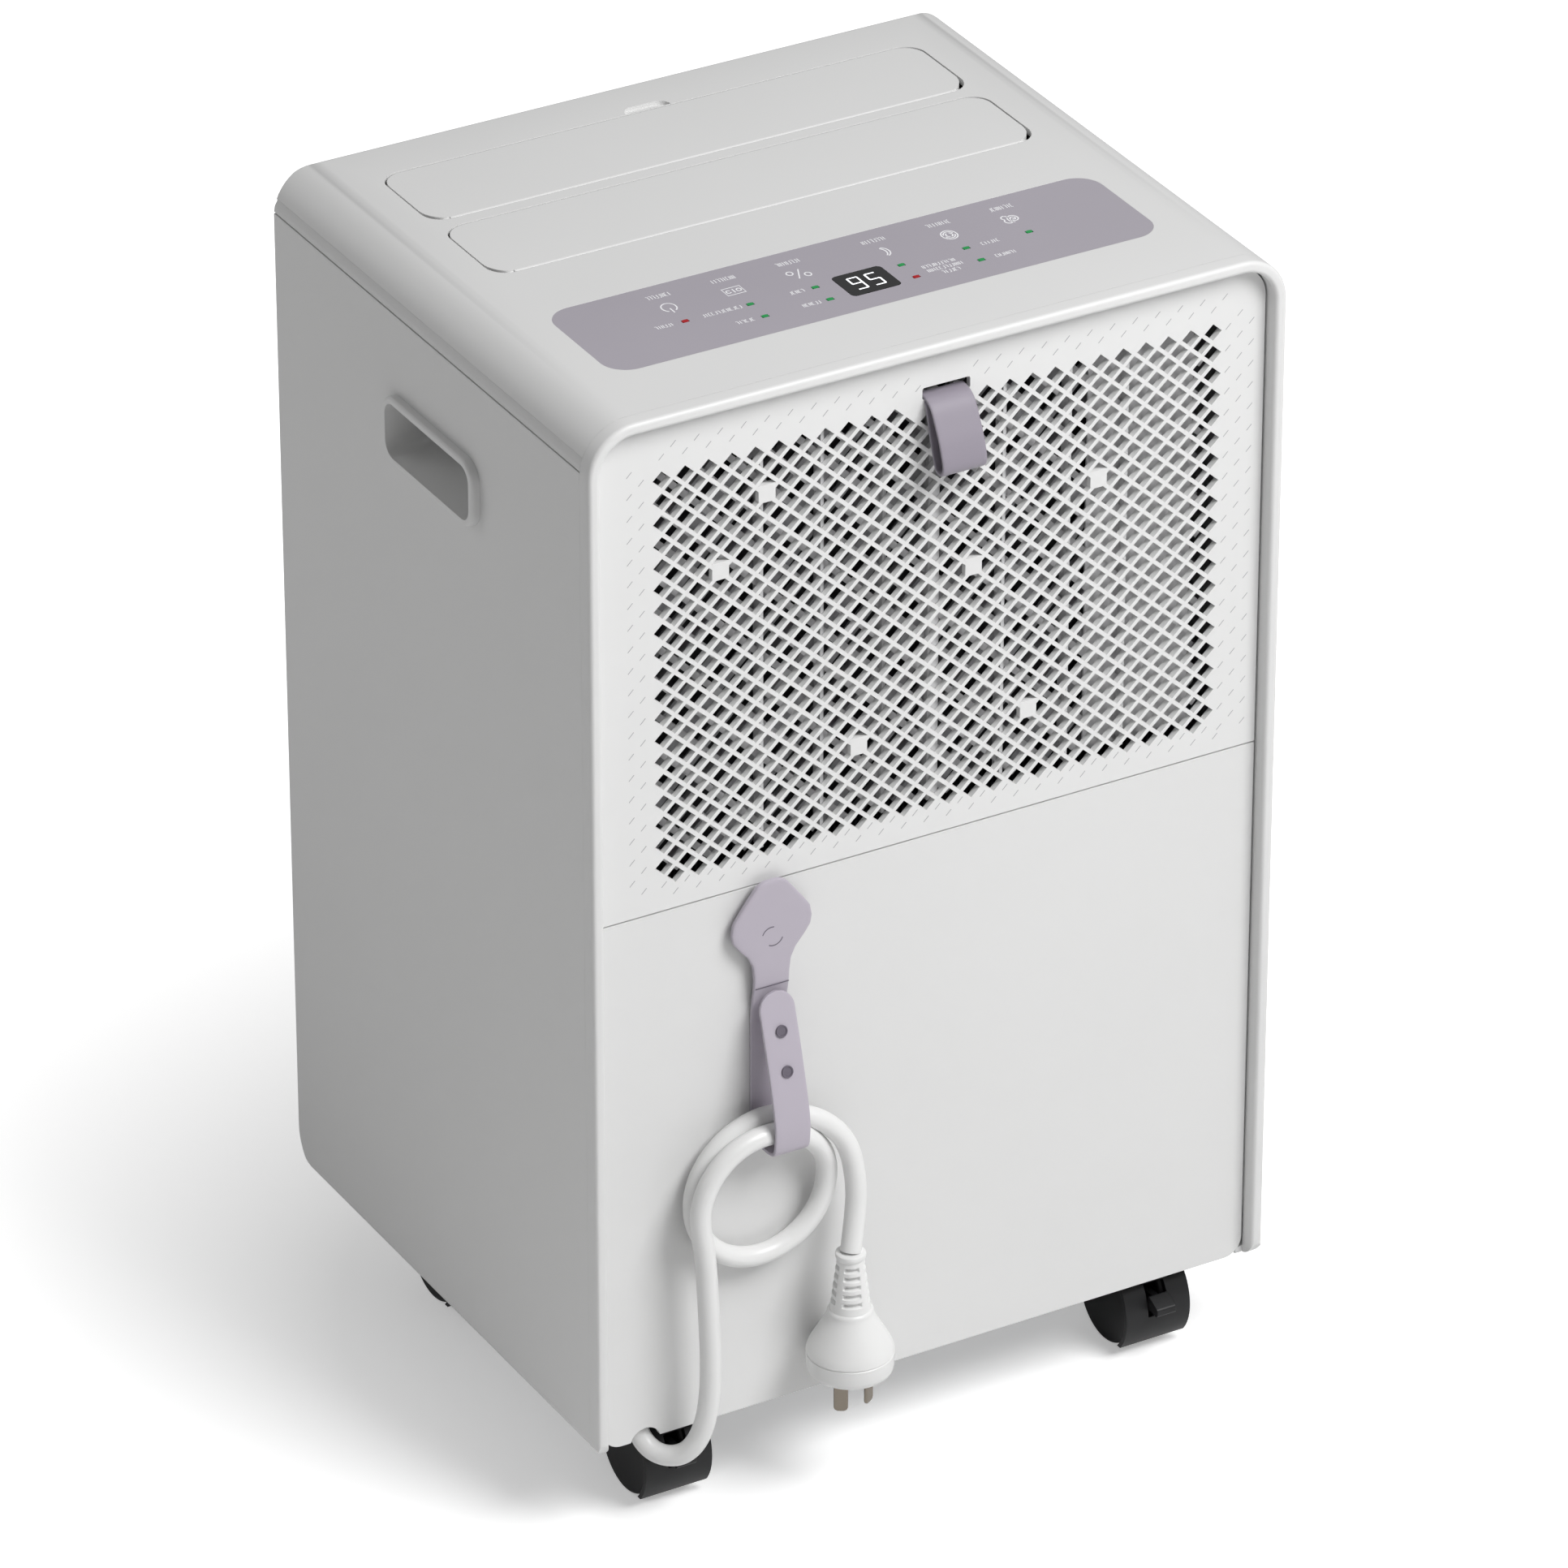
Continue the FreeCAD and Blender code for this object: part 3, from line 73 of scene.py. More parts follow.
LENS = 236.8                               # mm, on a sensor 36 mm wide
CAMERA_TURN, CAMERA_RISE = 150.311, 29.805  # degrees round from the front, and above the floor
CAMERA_AWAY = 4.498
CAMERA_TARGET = (0, 0, 0.272)
CAMERA_ACROSS, CAMERA_UP = 0.001, 0.0034   # how far the camera slides in its own picture plane
camera_data = bpy.data.cameras.new("camera")
camera_data.sensor_width = 36.0
camera_data.lens = LENS
camera_data.clip_end = 50
camera = bpy.data.objects.new("camera", camera_data)
scene.collection.objects.link(camera)
aim(camera, *look_from(CAMERA_TURN, CAMERA_RISE, CAMERA_AWAY, CAMERA_TARGET, CAMERA_ACROSS, CAMERA_UP))
scene.camera = camera


def softbox(name, azimuth, elevation, distance, size, watts, colour=(1, 1, 1)):
    """A square area light that faces the machine's middle."""
    data = bpy.data.lights.new(name, "AREA")
    data.size = size
    data.energy = watts
    data.color = colour
    lamp = bpy.data.objects.new(name, data)
    scene.collection.objects.link(lamp)
    aim(lamp, *look_from(azimuth, elevation, distance, (0, 0, 0.25), 0, 0))


softbox("key_light", 205, 49, 2.7, 1.3, 67)
softbox("front_fill", 40, 25, 3.2, 1.8, 13)


def seen_white(tree, plain, bright, socket):
    """Mixes two strengths: `bright` where the camera sees the surface itself, `plain` for all other
    light.  Returns the node that picks between them."""
    path = tree.nodes.new("ShaderNodeLightPath")
    pick = tree.nodes.new("ShaderNodeMapRange")
    pick.inputs["To Min"].default_value = plain
    pick.inputs["To Max"].default_value = bright
    tree.links.new(path.outputs["Is Camera Ray"], pick.inputs["Value"])
    tree.links.new(pick.outputs["Result"], socket)
    return pick


world = bpy.data.worlds.new("studio")
world.use_nodes = True
backdrop = world.node_tree.nodes["Background"]
backdrop.inputs["Color"].default_value = (1.0, 1.0, 1.0, 1)
seen_white(world.node_tree, 0.24, 1.0, backdrop.inputs["Strength"])
scene.world = world

floor_mesh = bpy.data.meshes.new("floor")
floor_mesh.from_pydata([(-8, -8, 0), (8, -8, 0), (8, 8, 0), (-8, 8, 0)], [], [(0, 1, 2, 3)])
floor = bpy.data.objects.new("floor", floor_mesh)
scene.collection.objects.link(floor)
floor_paint = bpy.data.materials.new("floor_paint")
floor_paint.use_nodes = True
shader = floor_paint.node_tree.nodes["Principled BSDF"]
shader.inputs["Base Color"].default_value = (0.90, 0.90, 0.90, 1)
shader.inputs["Roughness"].default_value = 0.9
shader.inputs["Specular IOR Level"].default_value = 0.1
shader.inputs["Emission Color"].default_value = (1, 1, 1, 1)
# the floor glows weakly by itself, more with distance from the machine, so its shadow fades to white
pick = seen_white(floor_paint.node_tree, 0.0, 0.30, shader.inputs["Emission Strength"])
spot = floor_paint.node_tree.nodes.new("ShaderNodeTexCoord")
reach = floor_paint.node_tree.nodes.new("ShaderNodeVectorMath")
reach.operation = "LENGTH"
fade = floor_paint.node_tree.nodes.new("ShaderNodeMapRange")
fade.inputs["From Min"].default_value = 0.20
fade.inputs["From Max"].default_value = 0.42
fade.inputs["To Min"].default_value = 0.34
fade.inputs["To Max"].default_value = 0.75
floor_paint.node_tree.links.new(spot.outputs["Object"], reach.inputs[0])
floor_paint.node_tree.links.new(reach.outputs["Value"], fade.inputs["Value"])
floor_paint.node_tree.links.new(fade.outputs["Result"], pick.inputs["To Max"])
floor_mesh.materials.append(floor_paint)


# ---- Mains cord --------------------------------------------------------------------------------
# A round 9.4 mm flex in white PVC.  It leaves the base pointing down, turns up over the rear panel,
# hangs one and a half turns in the strap, and drops to the plug.
def finish(name, colour, roughness, grain=0.0, grain_size=0.4, mottle=0.02, metallic=0.0,
           specular=0.5, soften=0.0, coat=0.0, sheen=0.0):
    """A moulded or painted finish: colour varied by a few percent in slow patches, roughness varied
    with it, and a fine grain in relief.  `soften` rounds sharp edges in the shading, in mm."""
    material = bpy.data.materials.new(name)
    material.use_nodes = True
    tree = material.node_tree
    bsdf = tree.nodes["Principled BSDF"]
    bsdf.inputs["Metallic"].default_value = metallic
    bsdf.inputs["Specular IOR Level"].default_value = specular
    bsdf.inputs["Coat Weight"].default_value = coat
    bsdf.inputs["Sheen Weight"].default_value = sheen
    where = tree.nodes.new("ShaderNodeTexCoord")
    patches = tree.nodes.new("ShaderNodeTexNoise")
    patches.inputs["Scale"].default_value = 9.0
    patches.inputs["Detail"].default_value = 4.0
    tree.links.new(where.outputs["Object"], patches.inputs["Vector"])
    tint = tree.nodes.new("ShaderNodeValToRGB")
    tint.color_ramp.elements[0].position = 0.3
    tint.color_ramp.elements[1].position = 0.7
    tint.color_ramp.elements[0].color = (*[c * (1 - mottle) for c in colour], 1)
    tint.color_ramp.elements[1].color = (*[min(1, c * (1 + mottle)) for c in colour], 1)
    tree.links.new(patches.outputs["Fac"], tint.inputs["Fac"])
    tree.links.new(tint.outputs["Color"], bsdf.inputs["Base Color"])
    gloss = tree.nodes.new("ShaderNodeMapRange")
    gloss.inputs["To Min"].default_value = roughness * 0.93
    gloss.inputs["To Max"].default_value = min(1, roughness * 1.07)
    tree.links.new(patches.outputs["Fac"], gloss.inputs["Value"])
    tree.links.new(gloss.outputs["Result"], bsdf.inputs["Roughness"])
    edge = None
    if soften:
        edge = tree.nodes.new("ShaderNodeBevel")
        edge.samples = 4
        edge.inputs["Radius"].default_value = soften * mm
    if grain:
        speckle = tree.nodes.new("ShaderNodeTexNoise")
        speckle.inputs["Scale"].default_value = 1.0 / (grain_size * mm)
        speckle.inputs["Detail"].default_value = 2.0
        tree.links.new(where.outputs["Object"], speckle.inputs["Vector"])
        relief = tree.nodes.new("ShaderNodeBump")
        relief.inputs["Strength"].default_value = grain
        relief.inputs["Distance"].default_value = 0.05 * mm
        tree.links.new(speckle.outputs["Fac"], relief.inputs["Height"])
        if edge:
            tree.links.new(edge.outputs["Normal"], relief.inputs["Normal"])
        tree.links.new(relief.outputs["Normal"], bsdf.inputs["Normal"])
    elif edge:
        tree.links.new(edge.outputs["Normal"], bsdf.inputs["Normal"])
    return material


cord_pvc = finish("cord_pvc", (0.74, 0.74, 0.735), 0.34, grain=0.12, grain_size=0.9)
CORD_D = 9.4 * mm
panel_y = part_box("rear_lower_panel")[1].y
coil_low, coil_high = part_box("cord_coil")
coil_x, coil_z = (coil_low.x + coil_high.x) / 2, (coil_low.z + coil_high.z) / 2
coil_r = (coil_high.x - coil_low.x - CORD_D) / 2 + 0.8 * mm
coil_z = coil_z - 3.4 * mm                # the turns sag a little in the strap
back_y, front_y = coil_low.y + CORD_D / 2, coil_high.y - CORD_D / 2
relief_low, relief_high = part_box("strain_relief")
plug_x, plug_y = (relief_low.x + relief_high.x) / 2 - 2.0 * mm, (relief_low.y + relief_high.y) / 2
SAG = 2.5 * mm                             # how far the plug hangs below its CAD place
relief_top, relief_foot = relief_high.z - SAG, relief_low.z - SAG
base_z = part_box("plug_body")[0].z - SAG

TAIL_ROUTE = [(0.141, 0.1155, 0.048), (0.1405, 0.118, 0.0405), (0.1355, 0.1265, 0.0345),
              (0.1275, 0.1350, 0.0370), (0.1215, 0.1395, 0.0480), (0.1185, 0.1415, 0.0660),
              (0.1185, 0.1425, 0.0900), (0.1196, 0.1422, 0.1180), (0.1204, 0.1415, 0.1400)]
DROP_ROUTE = [(0.0455, 0.1408, 0.1540), (0.0470, 0.1422, 0.1380), (plug_x, plug_y, relief_top)]


def coil_turns():
    """Points round the coil's centre, 16 to the turn: radius and depth are smooth functions of the
    angle, so that the cord starts in front, slips behind itself, and comes out in front again."""
    angle = np.arange(0, 523, 22.5)
    depth = np.interp(angle, [0, 100, 180, 260, 440, 500, 523], [1.0, 1.0, 0.18, 0.0, 0.0, 0.75, 1.0])
    grow = np.interp(angle, [0, 60, 130, 200, 270, 420, 500, 523],
                     [2.6, 0.8, -3.4, -1.5, 0.6, 0.6, 6.4, 7.4]) * mm
    radius = (coil_r + grow) / math.cos(math.radians(11.25)) ** 2
    turn = np.radians(angle)
    return np.c_[coil_x + radius * np.cos(turn), back_y + depth * (front_y - back_y),
                 coil_z + radius * np.sin(turn)]


def cord_curve(name, route, diameter, material):
    """A round cord.  Its centreline is one smooth spline with the route's points as control points."""
    curve = bpy.data.curves.new(name, "CURVE")
    curve.dimensions = "3D"
    curve.bevel_depth = diameter / 2
    curve.bevel_resolution = 6
    curve.resolution_u = 10
    curve.use_fill_caps = True
    spline = curve.splines.new("NURBS")
    spline.points.add(len(route) - 1)
    spline.points.foreach_set("co", np.c_[np.array(route, float), np.ones(len(route))].ravel())
    spline.order_u = 3
    spline.use_endpoint_u = True
    curve.materials.append(material)
    piece = bpy.data.objects.new(name, curve)
    scene.collection.objects.link(piece)
    return piece


whole_route = TAIL_ROUTE + [tuple(point) for point in coil_turns()] + DROP_ROUTE
flex = cord_curve("cord_flex", whole_route, CORD_D, cord_pvc)
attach(flex, "casing")
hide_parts("cord_tail", "cord_coil", "cord_drop")


# ---- Strain relief, plug and its pins ----------------------------------------------------------
# Moulded in one with the flex: a tapered sleeve with five rows of slots, a bell-shaped body over a
# round base, and three flat brass blades.
def solid_from_grid(name, points, material, body, closed_ends=True):
    """A closed skin over a grid of points, rows along the piece and columns round it.  The ends are
    closed by one face each."""
    rows, columns = points.shape[:2]
    index = np.arange(rows * columns).reshape(rows, columns)
    after = np.roll(index, -1, axis=1)
    quads = np.stack([index[:-1], after[:-1], after[1:], index[1:]], axis=-1).reshape(-1, 4)
    faces = quads.tolist()
    if closed_ends:
        faces += [index[0][::-1].tolist(), index[-1].tolist()]
    mesh = bpy.data.meshes.new(name)
    mesh.from_pydata(points.reshape(-1, 3).tolist(), [], faces)
    return place_mesh(name, mesh, material, body)


def place_mesh(name, mesh, material, body):
    """Puts a mesh into the scene, smooth, with its faces pointing outward, riding on a body."""
    shell = bmesh.new()
    shell.from_mesh(mesh)
    bmesh.ops.remove_doubles(shell, verts=shell.verts, dist=1e-7)
    bmesh.ops.recalc_face_normals(shell, faces=shell.faces)
    shell.to_mesh(mesh)
    shell.free()
    mesh.polygons.foreach_set("use_smooth", np.ones(len(mesh.polygons), bool))
    mesh.set_sharp_from_angle(angle=math.radians(38))
    mesh.materials.append(material)
    piece = bpy.data.objects.new(name, mesh)
    scene.collection.objects.link(piece)
    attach(piece, body)
    return piece


def turned(name, profile, centre, material, body, around=64, carve=None):
    """A body of revolution: radius r(s) at height z(s), swept through a full circle about `centre`.
    `carve` may take a depth off the radius as a function of height and angle."""
    profile = np.array(profile, float)
    angle = np.linspace(0, 2 * np.pi, around, endpoint=False)
    height, turn = np.meshgrid(profile[:, 1], angle, indexing="ij")
    radius = np.repeat(profile[:, :1], around, axis=1)
    if carve:
        radius = np.maximum(radius - carve(height, turn), 1e-5)
    points = np.stack([centre[0] + radius * np.cos(turn), centre[1] + radius * np.sin(turn), height], -1)
    return solid_from_grid(name, points, material, body)


def smooth_profile(points, steps=8):
    """Curve through the given points, each segment a cubic (Catmull-Rom) cut into equal steps."""
    p = np.array([points[0]] + list(points) + [points[-1]], float)
    t = np.linspace(0, 1, steps, endpoint=False)[:, None]
    out = []
    for a, b, c, d in zip(p[:-3], p[1:-2], p[2:-1], p[3:]):
        out.append(0.5 * (2 * b + (c - a) * t + (2 * a - 5 * b + 4 * c - d) * t ** 2
                          + (3 * b - a - 3 * c + d) * t ** 3))
    return np.vstack(out + [p[-1:]])


def slots(height, turn):
    """Five rows of slots: a rounded dip in height, repeated, present on four sides of the sleeve."""
    share = (relief_top - 4.6 * mm - height) / (relief_top - relief_foot - 9.5 * mm)
    row = np.cos(share * 5 * 2 * np.pi)
    within = (share > -0.02) & (share < 1.02)
    side = np.clip((np.cos(4 * (turn - math.radians(66))) + 0.62) * 3.0, 0, 1)
    return within * side * np.clip(0.35 - row * 1.25, 0, 1) * 1.7 * mm


sleeve = [(0.0001, relief_top)]
sleeve += [(5.9 * mm, relief_top), (6.6 * mm, relief_top - 0.5 * mm), (6.8 * mm, relief_top - 1.4 * mm),
           (6.6 * mm, relief_top - 2.6 * mm)]
sleeve += [((6.0 + 3.0 * s) * mm, relief_top - 3.4 * mm - s * (relief_top - relief_foot - 5.6 * mm))
           for s in np.linspace(0, 1, 110)]
sleeve += [(9.6 * mm, relief_foot + 1.8 * mm), (10.1 * mm, relief_foot + 1.0 * mm),
           (10.1 * mm, relief_foot), (0.0001, relief_foot)]
relief = turned("cord_strain_relief", sleeve, (plug_x, plug_y), cord_pvc, "casing", 96, slots)
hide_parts("strain_relief")

bell = smooth_profile([(10.1 * mm, relief_foot), (10.5 * mm, relief_foot - 1.4 * mm),
                       (12.0 * mm, relief_foot - 4.4 * mm), (15.4 * mm, relief_foot - 10.4 * mm),
                       (18.3 * mm, relief_foot - 15.8 * mm), (19.2 * mm, relief_foot - 18.2 * mm)], 9)
plug_profile = [(0.0001, relief_foot)] + [tuple(p) for p in bell]
plug_profile += [(19.4 * mm, base_z + 11.0 * mm), (19.0 * mm, base_z + 10.6 * mm),
                 (19.0 * mm, base_z + 10.2 * mm), (19.4 * mm, base_z + 9.9 * mm),
                 (19.2 * mm, base_z + 3.6 * mm), (18.7 * mm, base_z + 1.6 * mm),
                 (17.4 * mm, base_z + 0.4 * mm), (15.8 * mm, base_z), (0.0001, base_z)]
plug = turned("plug_moulding", plug_profile, (plug_x, plug_y), cord_pvc, "casing", 96)
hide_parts("plug_body")

blade_metal = finish("blade_metal", (0.24, 0.21, 0.175), 0.28, metallic=1.0, mottle=0.08, grain=0.1)
pin_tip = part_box("plug_pins")[0].z - SAG
BLADE_WIDE, BLADE_THICK = 6.3 * mm, 1.6 * mm
BLADE_CIRCLE = 8.0 * mm                    # radius of the circle that the three blades stand on


def blade(name, angle, turn):
    """A flat pin: a stadium section 6.3 x 1.6 mm drawn down its length, narrowing to a rounded tip."""
    section = np.linspace(0, 2 * np.pi, 40, endpoint=False)
    across = np.sign(np.cos(section)) * np.abs(np.cos(section)) ** 0.35
    thick = np.sign(np.sin(section)) * np.abs(np.sin(section)) ** 0.6
    drop = np.linspace(0, 1, 30)
    length = base_z + 0.2 * mm - pin_tip
    end = np.clip((drop * length - (length - 2.2 * mm)) / (2.2 * mm), 0, 1)
    width = BLADE_WIDE / 2 * (1 - 0.55 * (1 - np.sqrt(1 - np.minimum(end, 0.995) ** 2)))
    depth = BLADE_THICK / 2 * (1 - 0.5 * (1 - np.sqrt(1 - np.minimum(end, 0.995) ** 2)))
    c, s = math.cos(math.radians(turn)), math.sin(math.radians(turn))
    u, v = np.outer(depth, thick), np.outer(width, across)
    x = plug_x + BLADE_CIRCLE * math.cos(math.radians(angle)) + u * c - v * s
    y = plug_y + BLADE_CIRCLE * math.sin(math.radians(angle)) + u * s + v * c
    z = np.repeat((base_z + 0.2 * mm - drop * length)[:, None], 40, axis=1)
    piece = solid_from_grid(name, np.stack([x, y, z], -1), blade_metal, "casing")
    return piece


blades = [blade("plug_blade_%d" % number, angle, turn)
          for number, (angle, turn) in enumerate(((150, 120), (30, 60), (270, 0)))]
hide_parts("plug_pins")


# ---- Casing ------------------------------------------------------------------------------------
# Injection-moulded white ABS with a fine spark-eroded grain: two side panels, top, front, the rear
# rim band, the plain rear panel and the filter cover, clipped to the base pan.
def dress(names, material, smooth=True):
    """Gives carried-over parts a finish and smooth curved faces."""
    for name in names:
        part = nodes[name]
        part.data.materials.clear()
        part.data.materials.append(material)
        part.data.polygons.foreach_set("use_smooth", np.ones(len(part.data.polygons), bool))
        if smooth:
            weld = part.modifiers.new("weld", "WELD")
            weld.merge_threshold = 1e-6
            split = part.modifiers.new("crisp_edges", "EDGE_SPLIT")
            split.split_angle = math.radians(28)


casing_white = finish("casing_white", (0.70, 0.70, 0.697), 0.42, grain=0.28, grain_size=0.55,
                      mottle=0.008, soften=0.4)
dress(["side_panel_left", "side_panel_right", "top_cover", "front_panel", "rear_frame",
       "rear_lower_panel", "outlet_flap_front", "outlet_flap_rear", "tank_cover",
       "handle_cup_right", "handle_cup_left"], casing_white)
lattice_white = finish("lattice_white", (0.72, 0.72, 0.717), 0.42, grain=0.2, grain_size=0.55,
                       mottle=0.008)
dress(["filter_cover"], lattice_white)


# ---- Control panel -----------------------------------------------------------------------------
# A lilac-grey printed film let into the top, with a smoked window over the two digits, small lamps,
# and white symbols: power, timer card, humidity, sleep, fan and swing.
film = finish("overlay_film", (0.385, 0.362, 0.405), 0.38, grain=0.2, grain_size=0.35, mottle=0.02)
dress(["control_overlay"], film)
smoked = finish("smoked_acrylic", (0.012, 0.012, 0.013), 0.12, coat=0.5)
dress(["display_window"], smoked)


def glowing(name, colour, strength):
    """A glowing surface: its colour as both surface and weak glow, with a slow variation in the surface. It
    serves the lamps, the display digits, and the white print, where the glow is painted light.
    """
    material = finish(name, colour, 0.3)
    bsdf = material.node_tree.nodes["Principled BSDF"]
    bsdf.inputs["Emission Color"].default_value = (*colour, 1)
    bsdf.inputs["Emission Strength"].default_value = strength
    return material


dress(["indicator_lamps_green"], glowing("lamp_green", (0.015, 0.25, 0.065), 0.2))
dress(["indicator_lamps_red"], glowing("lamp_red", (0.30, 0.006, 0.010), 0.3))
# the white print is no lamp: its weak glow is painted light
print_white_painted_glow = glowing("print_white_painted_glow", (0.82, 0.82, 0.84), 0.06)
film_low, film_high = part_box("control_overlay")
print_z = film_high.z + 0.03 * mm
window_low, window_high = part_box("display_window")
panel_mid_y = film_low.y - 35.0 * mm           # the casing's middle; rows are counted back from it


def print_strokes(name, strokes, width, height, material=None):
    """Flat printed lines: each stroke is a polyline widened by half its width to both sides, with the
    mitred normal at every point."""
    vertices, faces = [], []
    for stroke in strokes:
        line = np.array(stroke, float)
        closed = np.allclose(line[0], line[-1]) and len(line) > 3
        step = np.gradient(line, axis=0)
        if closed:
            step[0] = step[-1] = line[1] - line[-2]
        step /= np.linalg.norm(step, axis=1, keepdims=True) + 1e-12
        side = np.c_[-step[:, 1], step[:, 0]] * width / 2
        start = len(vertices)
        left, right = line + side, line - side
        both = np.empty((2 * len(line), 2))
        both[0::2], both[1::2] = left, right
        vertices += np.c_[both, np.full(len(both), height)].tolist()
        first = start + 2 * np.arange(len(line) - 1)
        faces += np.c_[first, first + 1, first + 3, first + 2].tolist()
    mesh = bpy.data.meshes.new(name)
    mesh.from_pydata(vertices, [], faces)
    mesh.materials.append(material or print_white_painted_glow)
    flip = np.zeros(len(mesh.polygons) * 3)
    mesh.polygons.foreach_get("normal", flip)
    if flip.reshape(-1, 3)[:, 2].mean() < 0:
        mesh.flip_normals()
    piece = bpy.data.objects.new(name, mesh)
    scene.collection.objects.link(piece)
    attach(piece, "casing")
    return piece


def arc(cx, cy, radius, start, end, count=24):
    """Points on a circle's arc, by angle in degrees."""
    turn = np.radians(np.linspace(start, end, count))
    return np.c_[cx + radius * np.cos(turn), cy + radius * np.sin(turn)]


COLUMNS = [83.5, 52.6, 21.3, -20.2, -51.8, -82.6]
icons = []


def at(column, row, strokes):
    """Moves strokes drawn about zero, in mm, to a column and row of the panel."""
    place = np.array([COLUMNS[column] * mm, panel_mid_y + row * mm])
    icons.extend([np.array(stroke, float) * mm * (1.12, 1.32) + place for stroke in strokes])


# power: open ring with a bar; card: rounded box with three marks; percent; crescent; ball; spiral
at(0, 55.8, [arc(0, 0, 2.9, 120, 420), [(0, 0.6), (0, 3.9)]])
at(1, 55.8, [[(-3.8, -2.4), (3.8, -2.4), (3.8, 2.4), (-3.8, 2.4), (-3.8, -2.4)],
             arc(-2.2, 0, 0.9, 0, 360), [(0, -1.3), (0, 1.3)], arc(2.2, 0, 0.9, -150, 150)])
at(2, 55.8, [arc(-3.0, 1.5, 1.25, 0, 360), arc(3.0, -1.5, 1.25, 0, 360), [(-1.6, -3.0), (1.6, 3.0)]])
at(3, 55.8, [arc(1.2, 0, 3.2, 110, 250), arc(2.6, 0, 3.3, 128, 232)])
at(4, 55.8, [arc(0, 0, 3.1, 0, 360)] + [arc(0, 0, r, s, s + 150) for r, s in
                                       ((2.2, 20), (2.2, 200), (1.3, 100), (1.3, 290))])
at(5, 55.8, [np.c_[np.linspace(0.3, 2.6, 60) * np.cos(np.linspace(0, 4.4 * np.pi, 60)) - 0.6,
                   np.linspace(0.3, 2.6, 60) * np.sin(np.linspace(0, 4.4 * np.pi, 60))],
            arc(2.2, 1.0, 1.5, -60, 200), arc(2.3, -1.5, 1.3, 160, 420)])
print_strokes("panel_symbols", icons, 0.62 * mm, print_z)


def caption_marks(x, y, length, height, seed):
    """A line of small plain ticks that stands for a caption: upright and level strokes, no letters."""
    rng = np.random.default_rng(seed)
    pitch = 1.45
    count = int(length / pitch)
    marks = []
    top, low = y + height / 2, y - height / 2
    for i in range(count):
        left = x - length / 2 + i * pitch
        shapes = ([[(left, low), (left, top)], [(left, low), (left + 0.8, low)]],
                  [[(left, top), (left, low)], [(left, top), (left + 0.8, top)]],
                  [[(left, low), (left, top)], [(left + 0.75, low), (left + 0.75, top)]],
                  [[(left, low), (left + 0.8, low), (left + 0.8, top), (left, top)]],
                  [[(left + 0.4, low), (left + 0.4, top)]])
        marks += shapes[rng.integers(0, len(shapes))]
    return marks


captions = []
for number, column in enumerate(COLUMNS):
    captions += caption_marks(column, 44.6, 13.0, 3.0, number)
for number, (x, row, length) in enumerate([
        (94.0, 69.8, 9.0), (66.5, 69.8, 19.0), (63.0, 82.3, 10.0), (31.0, 69.8, 8.0), (31.0, 82.3, 9.5),
        (-33.5, 76.4, 17.0), (-34.5, 80.4, 18.5), (-35.0, 84.4, 10.0), (-62.5, 69.8, 10.0),
        (-63.0, 82.3, 11.0)]):
    captions += caption_marks(x, row, length, 2.5, 20 + number)
place = np.array([0, panel_mid_y])
print_strokes("panel_captions", [np.array(m, float) * mm + place for m in captions], 0.42 * mm, print_z)


def seven_segments(digit, x, y, wide, tall):
    """Strokes of one display digit, which reads upright from the machine's front."""
    lit = {5: "afgcd", 6: "afgcde"}[digit]
    w, h = wide / 2, tall / 2
    ends = {"a": ((-w, h), (w, h)), "g": ((-w, 0), (w, 0)), "d": ((-w, -h), (w, -h)),
            "f": ((-w, 0), (-w, h)), "e": ((-w, -h), (-w, 0)), "c": ((w, -h), (w, 0))}
    return [[(x + p[0] * 0.93, y + p[1] * 0.93) for p in ends[s]] for s in lit]


middle_x = (window_low.x + window_high.x) / 2
middle_y = (window_low.y + window_high.y) / 2
digits = seven_segments(5, middle_x - 4.2 * mm, middle_y, 5.0 * mm, 11.4 * mm)
digits += seven_segments(6, middle_x + 4.2 * mm, middle_y, 5.0 * mm, 11.4 * mm)
print_strokes("display_digits", digits, 0.8 * mm, window_high.z + 0.03 * mm,
              glowing("digit_glow", (0.9, 0.92, 0.95), 0.9))


# ---- Filter cover fittings ---------------------------------------------------------------------
# Six square snap posts show between the lattice holes, the margin carries rows of fine slanted
# marks, and a ribbed cartridge with a slanted grid sits behind the lattice.
cover_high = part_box("filter_cover")[1]
PITCH_X, PITCH_Z = 11.08 * mm, 10.2 * mm
FIRST_X, FIRST_Z = 130.0 * mm, cover_high.z - 26.3 * mm + 0.2 * mm


def scattered(name, template, faces, places, material, body):
    """The same small shape at every place: the template's vertices plus each place's offset."""
    count = len(template)
    vertices = (np.array(places)[:, None, :] + np.array(template)[None]).reshape(-1, 3)
    all_faces = (np.arange(len(places))[:, None, None] * count + np.array(faces)[None]).reshape(-1, 4)
    mesh = bpy.data.meshes.new(name)
    mesh.from_pydata(vertices.tolist(), [], all_faces.tolist())
    return place_mesh(name, mesh, material, body)


BOX_FACES = [(0, 1, 3, 2), (4, 6, 7, 5), (0, 4, 5, 1), (2, 3, 7, 6), (0, 2, 6, 4), (1, 5, 7, 3)]


def block(x, y, z):
    """Corners of a box of half sizes x, y, z about zero, in the order that BOX_FACES takes them."""
    return np.array([(i, j, k) for i in (-x, x) for j in (-y, y) for k in (-z, z)])


post_corners = block(4.0 * mm, 1.45 * mm, 4.1 * mm)
posts = [(FIRST_X - PITCH_X * j, panel_y - 1.42 * mm, FIRST_Z - PITCH_Z * k) for j, k in
         ((4.5, 2), (2.5, 5), (19, 5.5), (13.5, 8), (8.5, 15), (16, 15.5))]
scattered("filter_snap_posts", post_corners, BOX_FACES, posts, lattice_white, "filter_door")

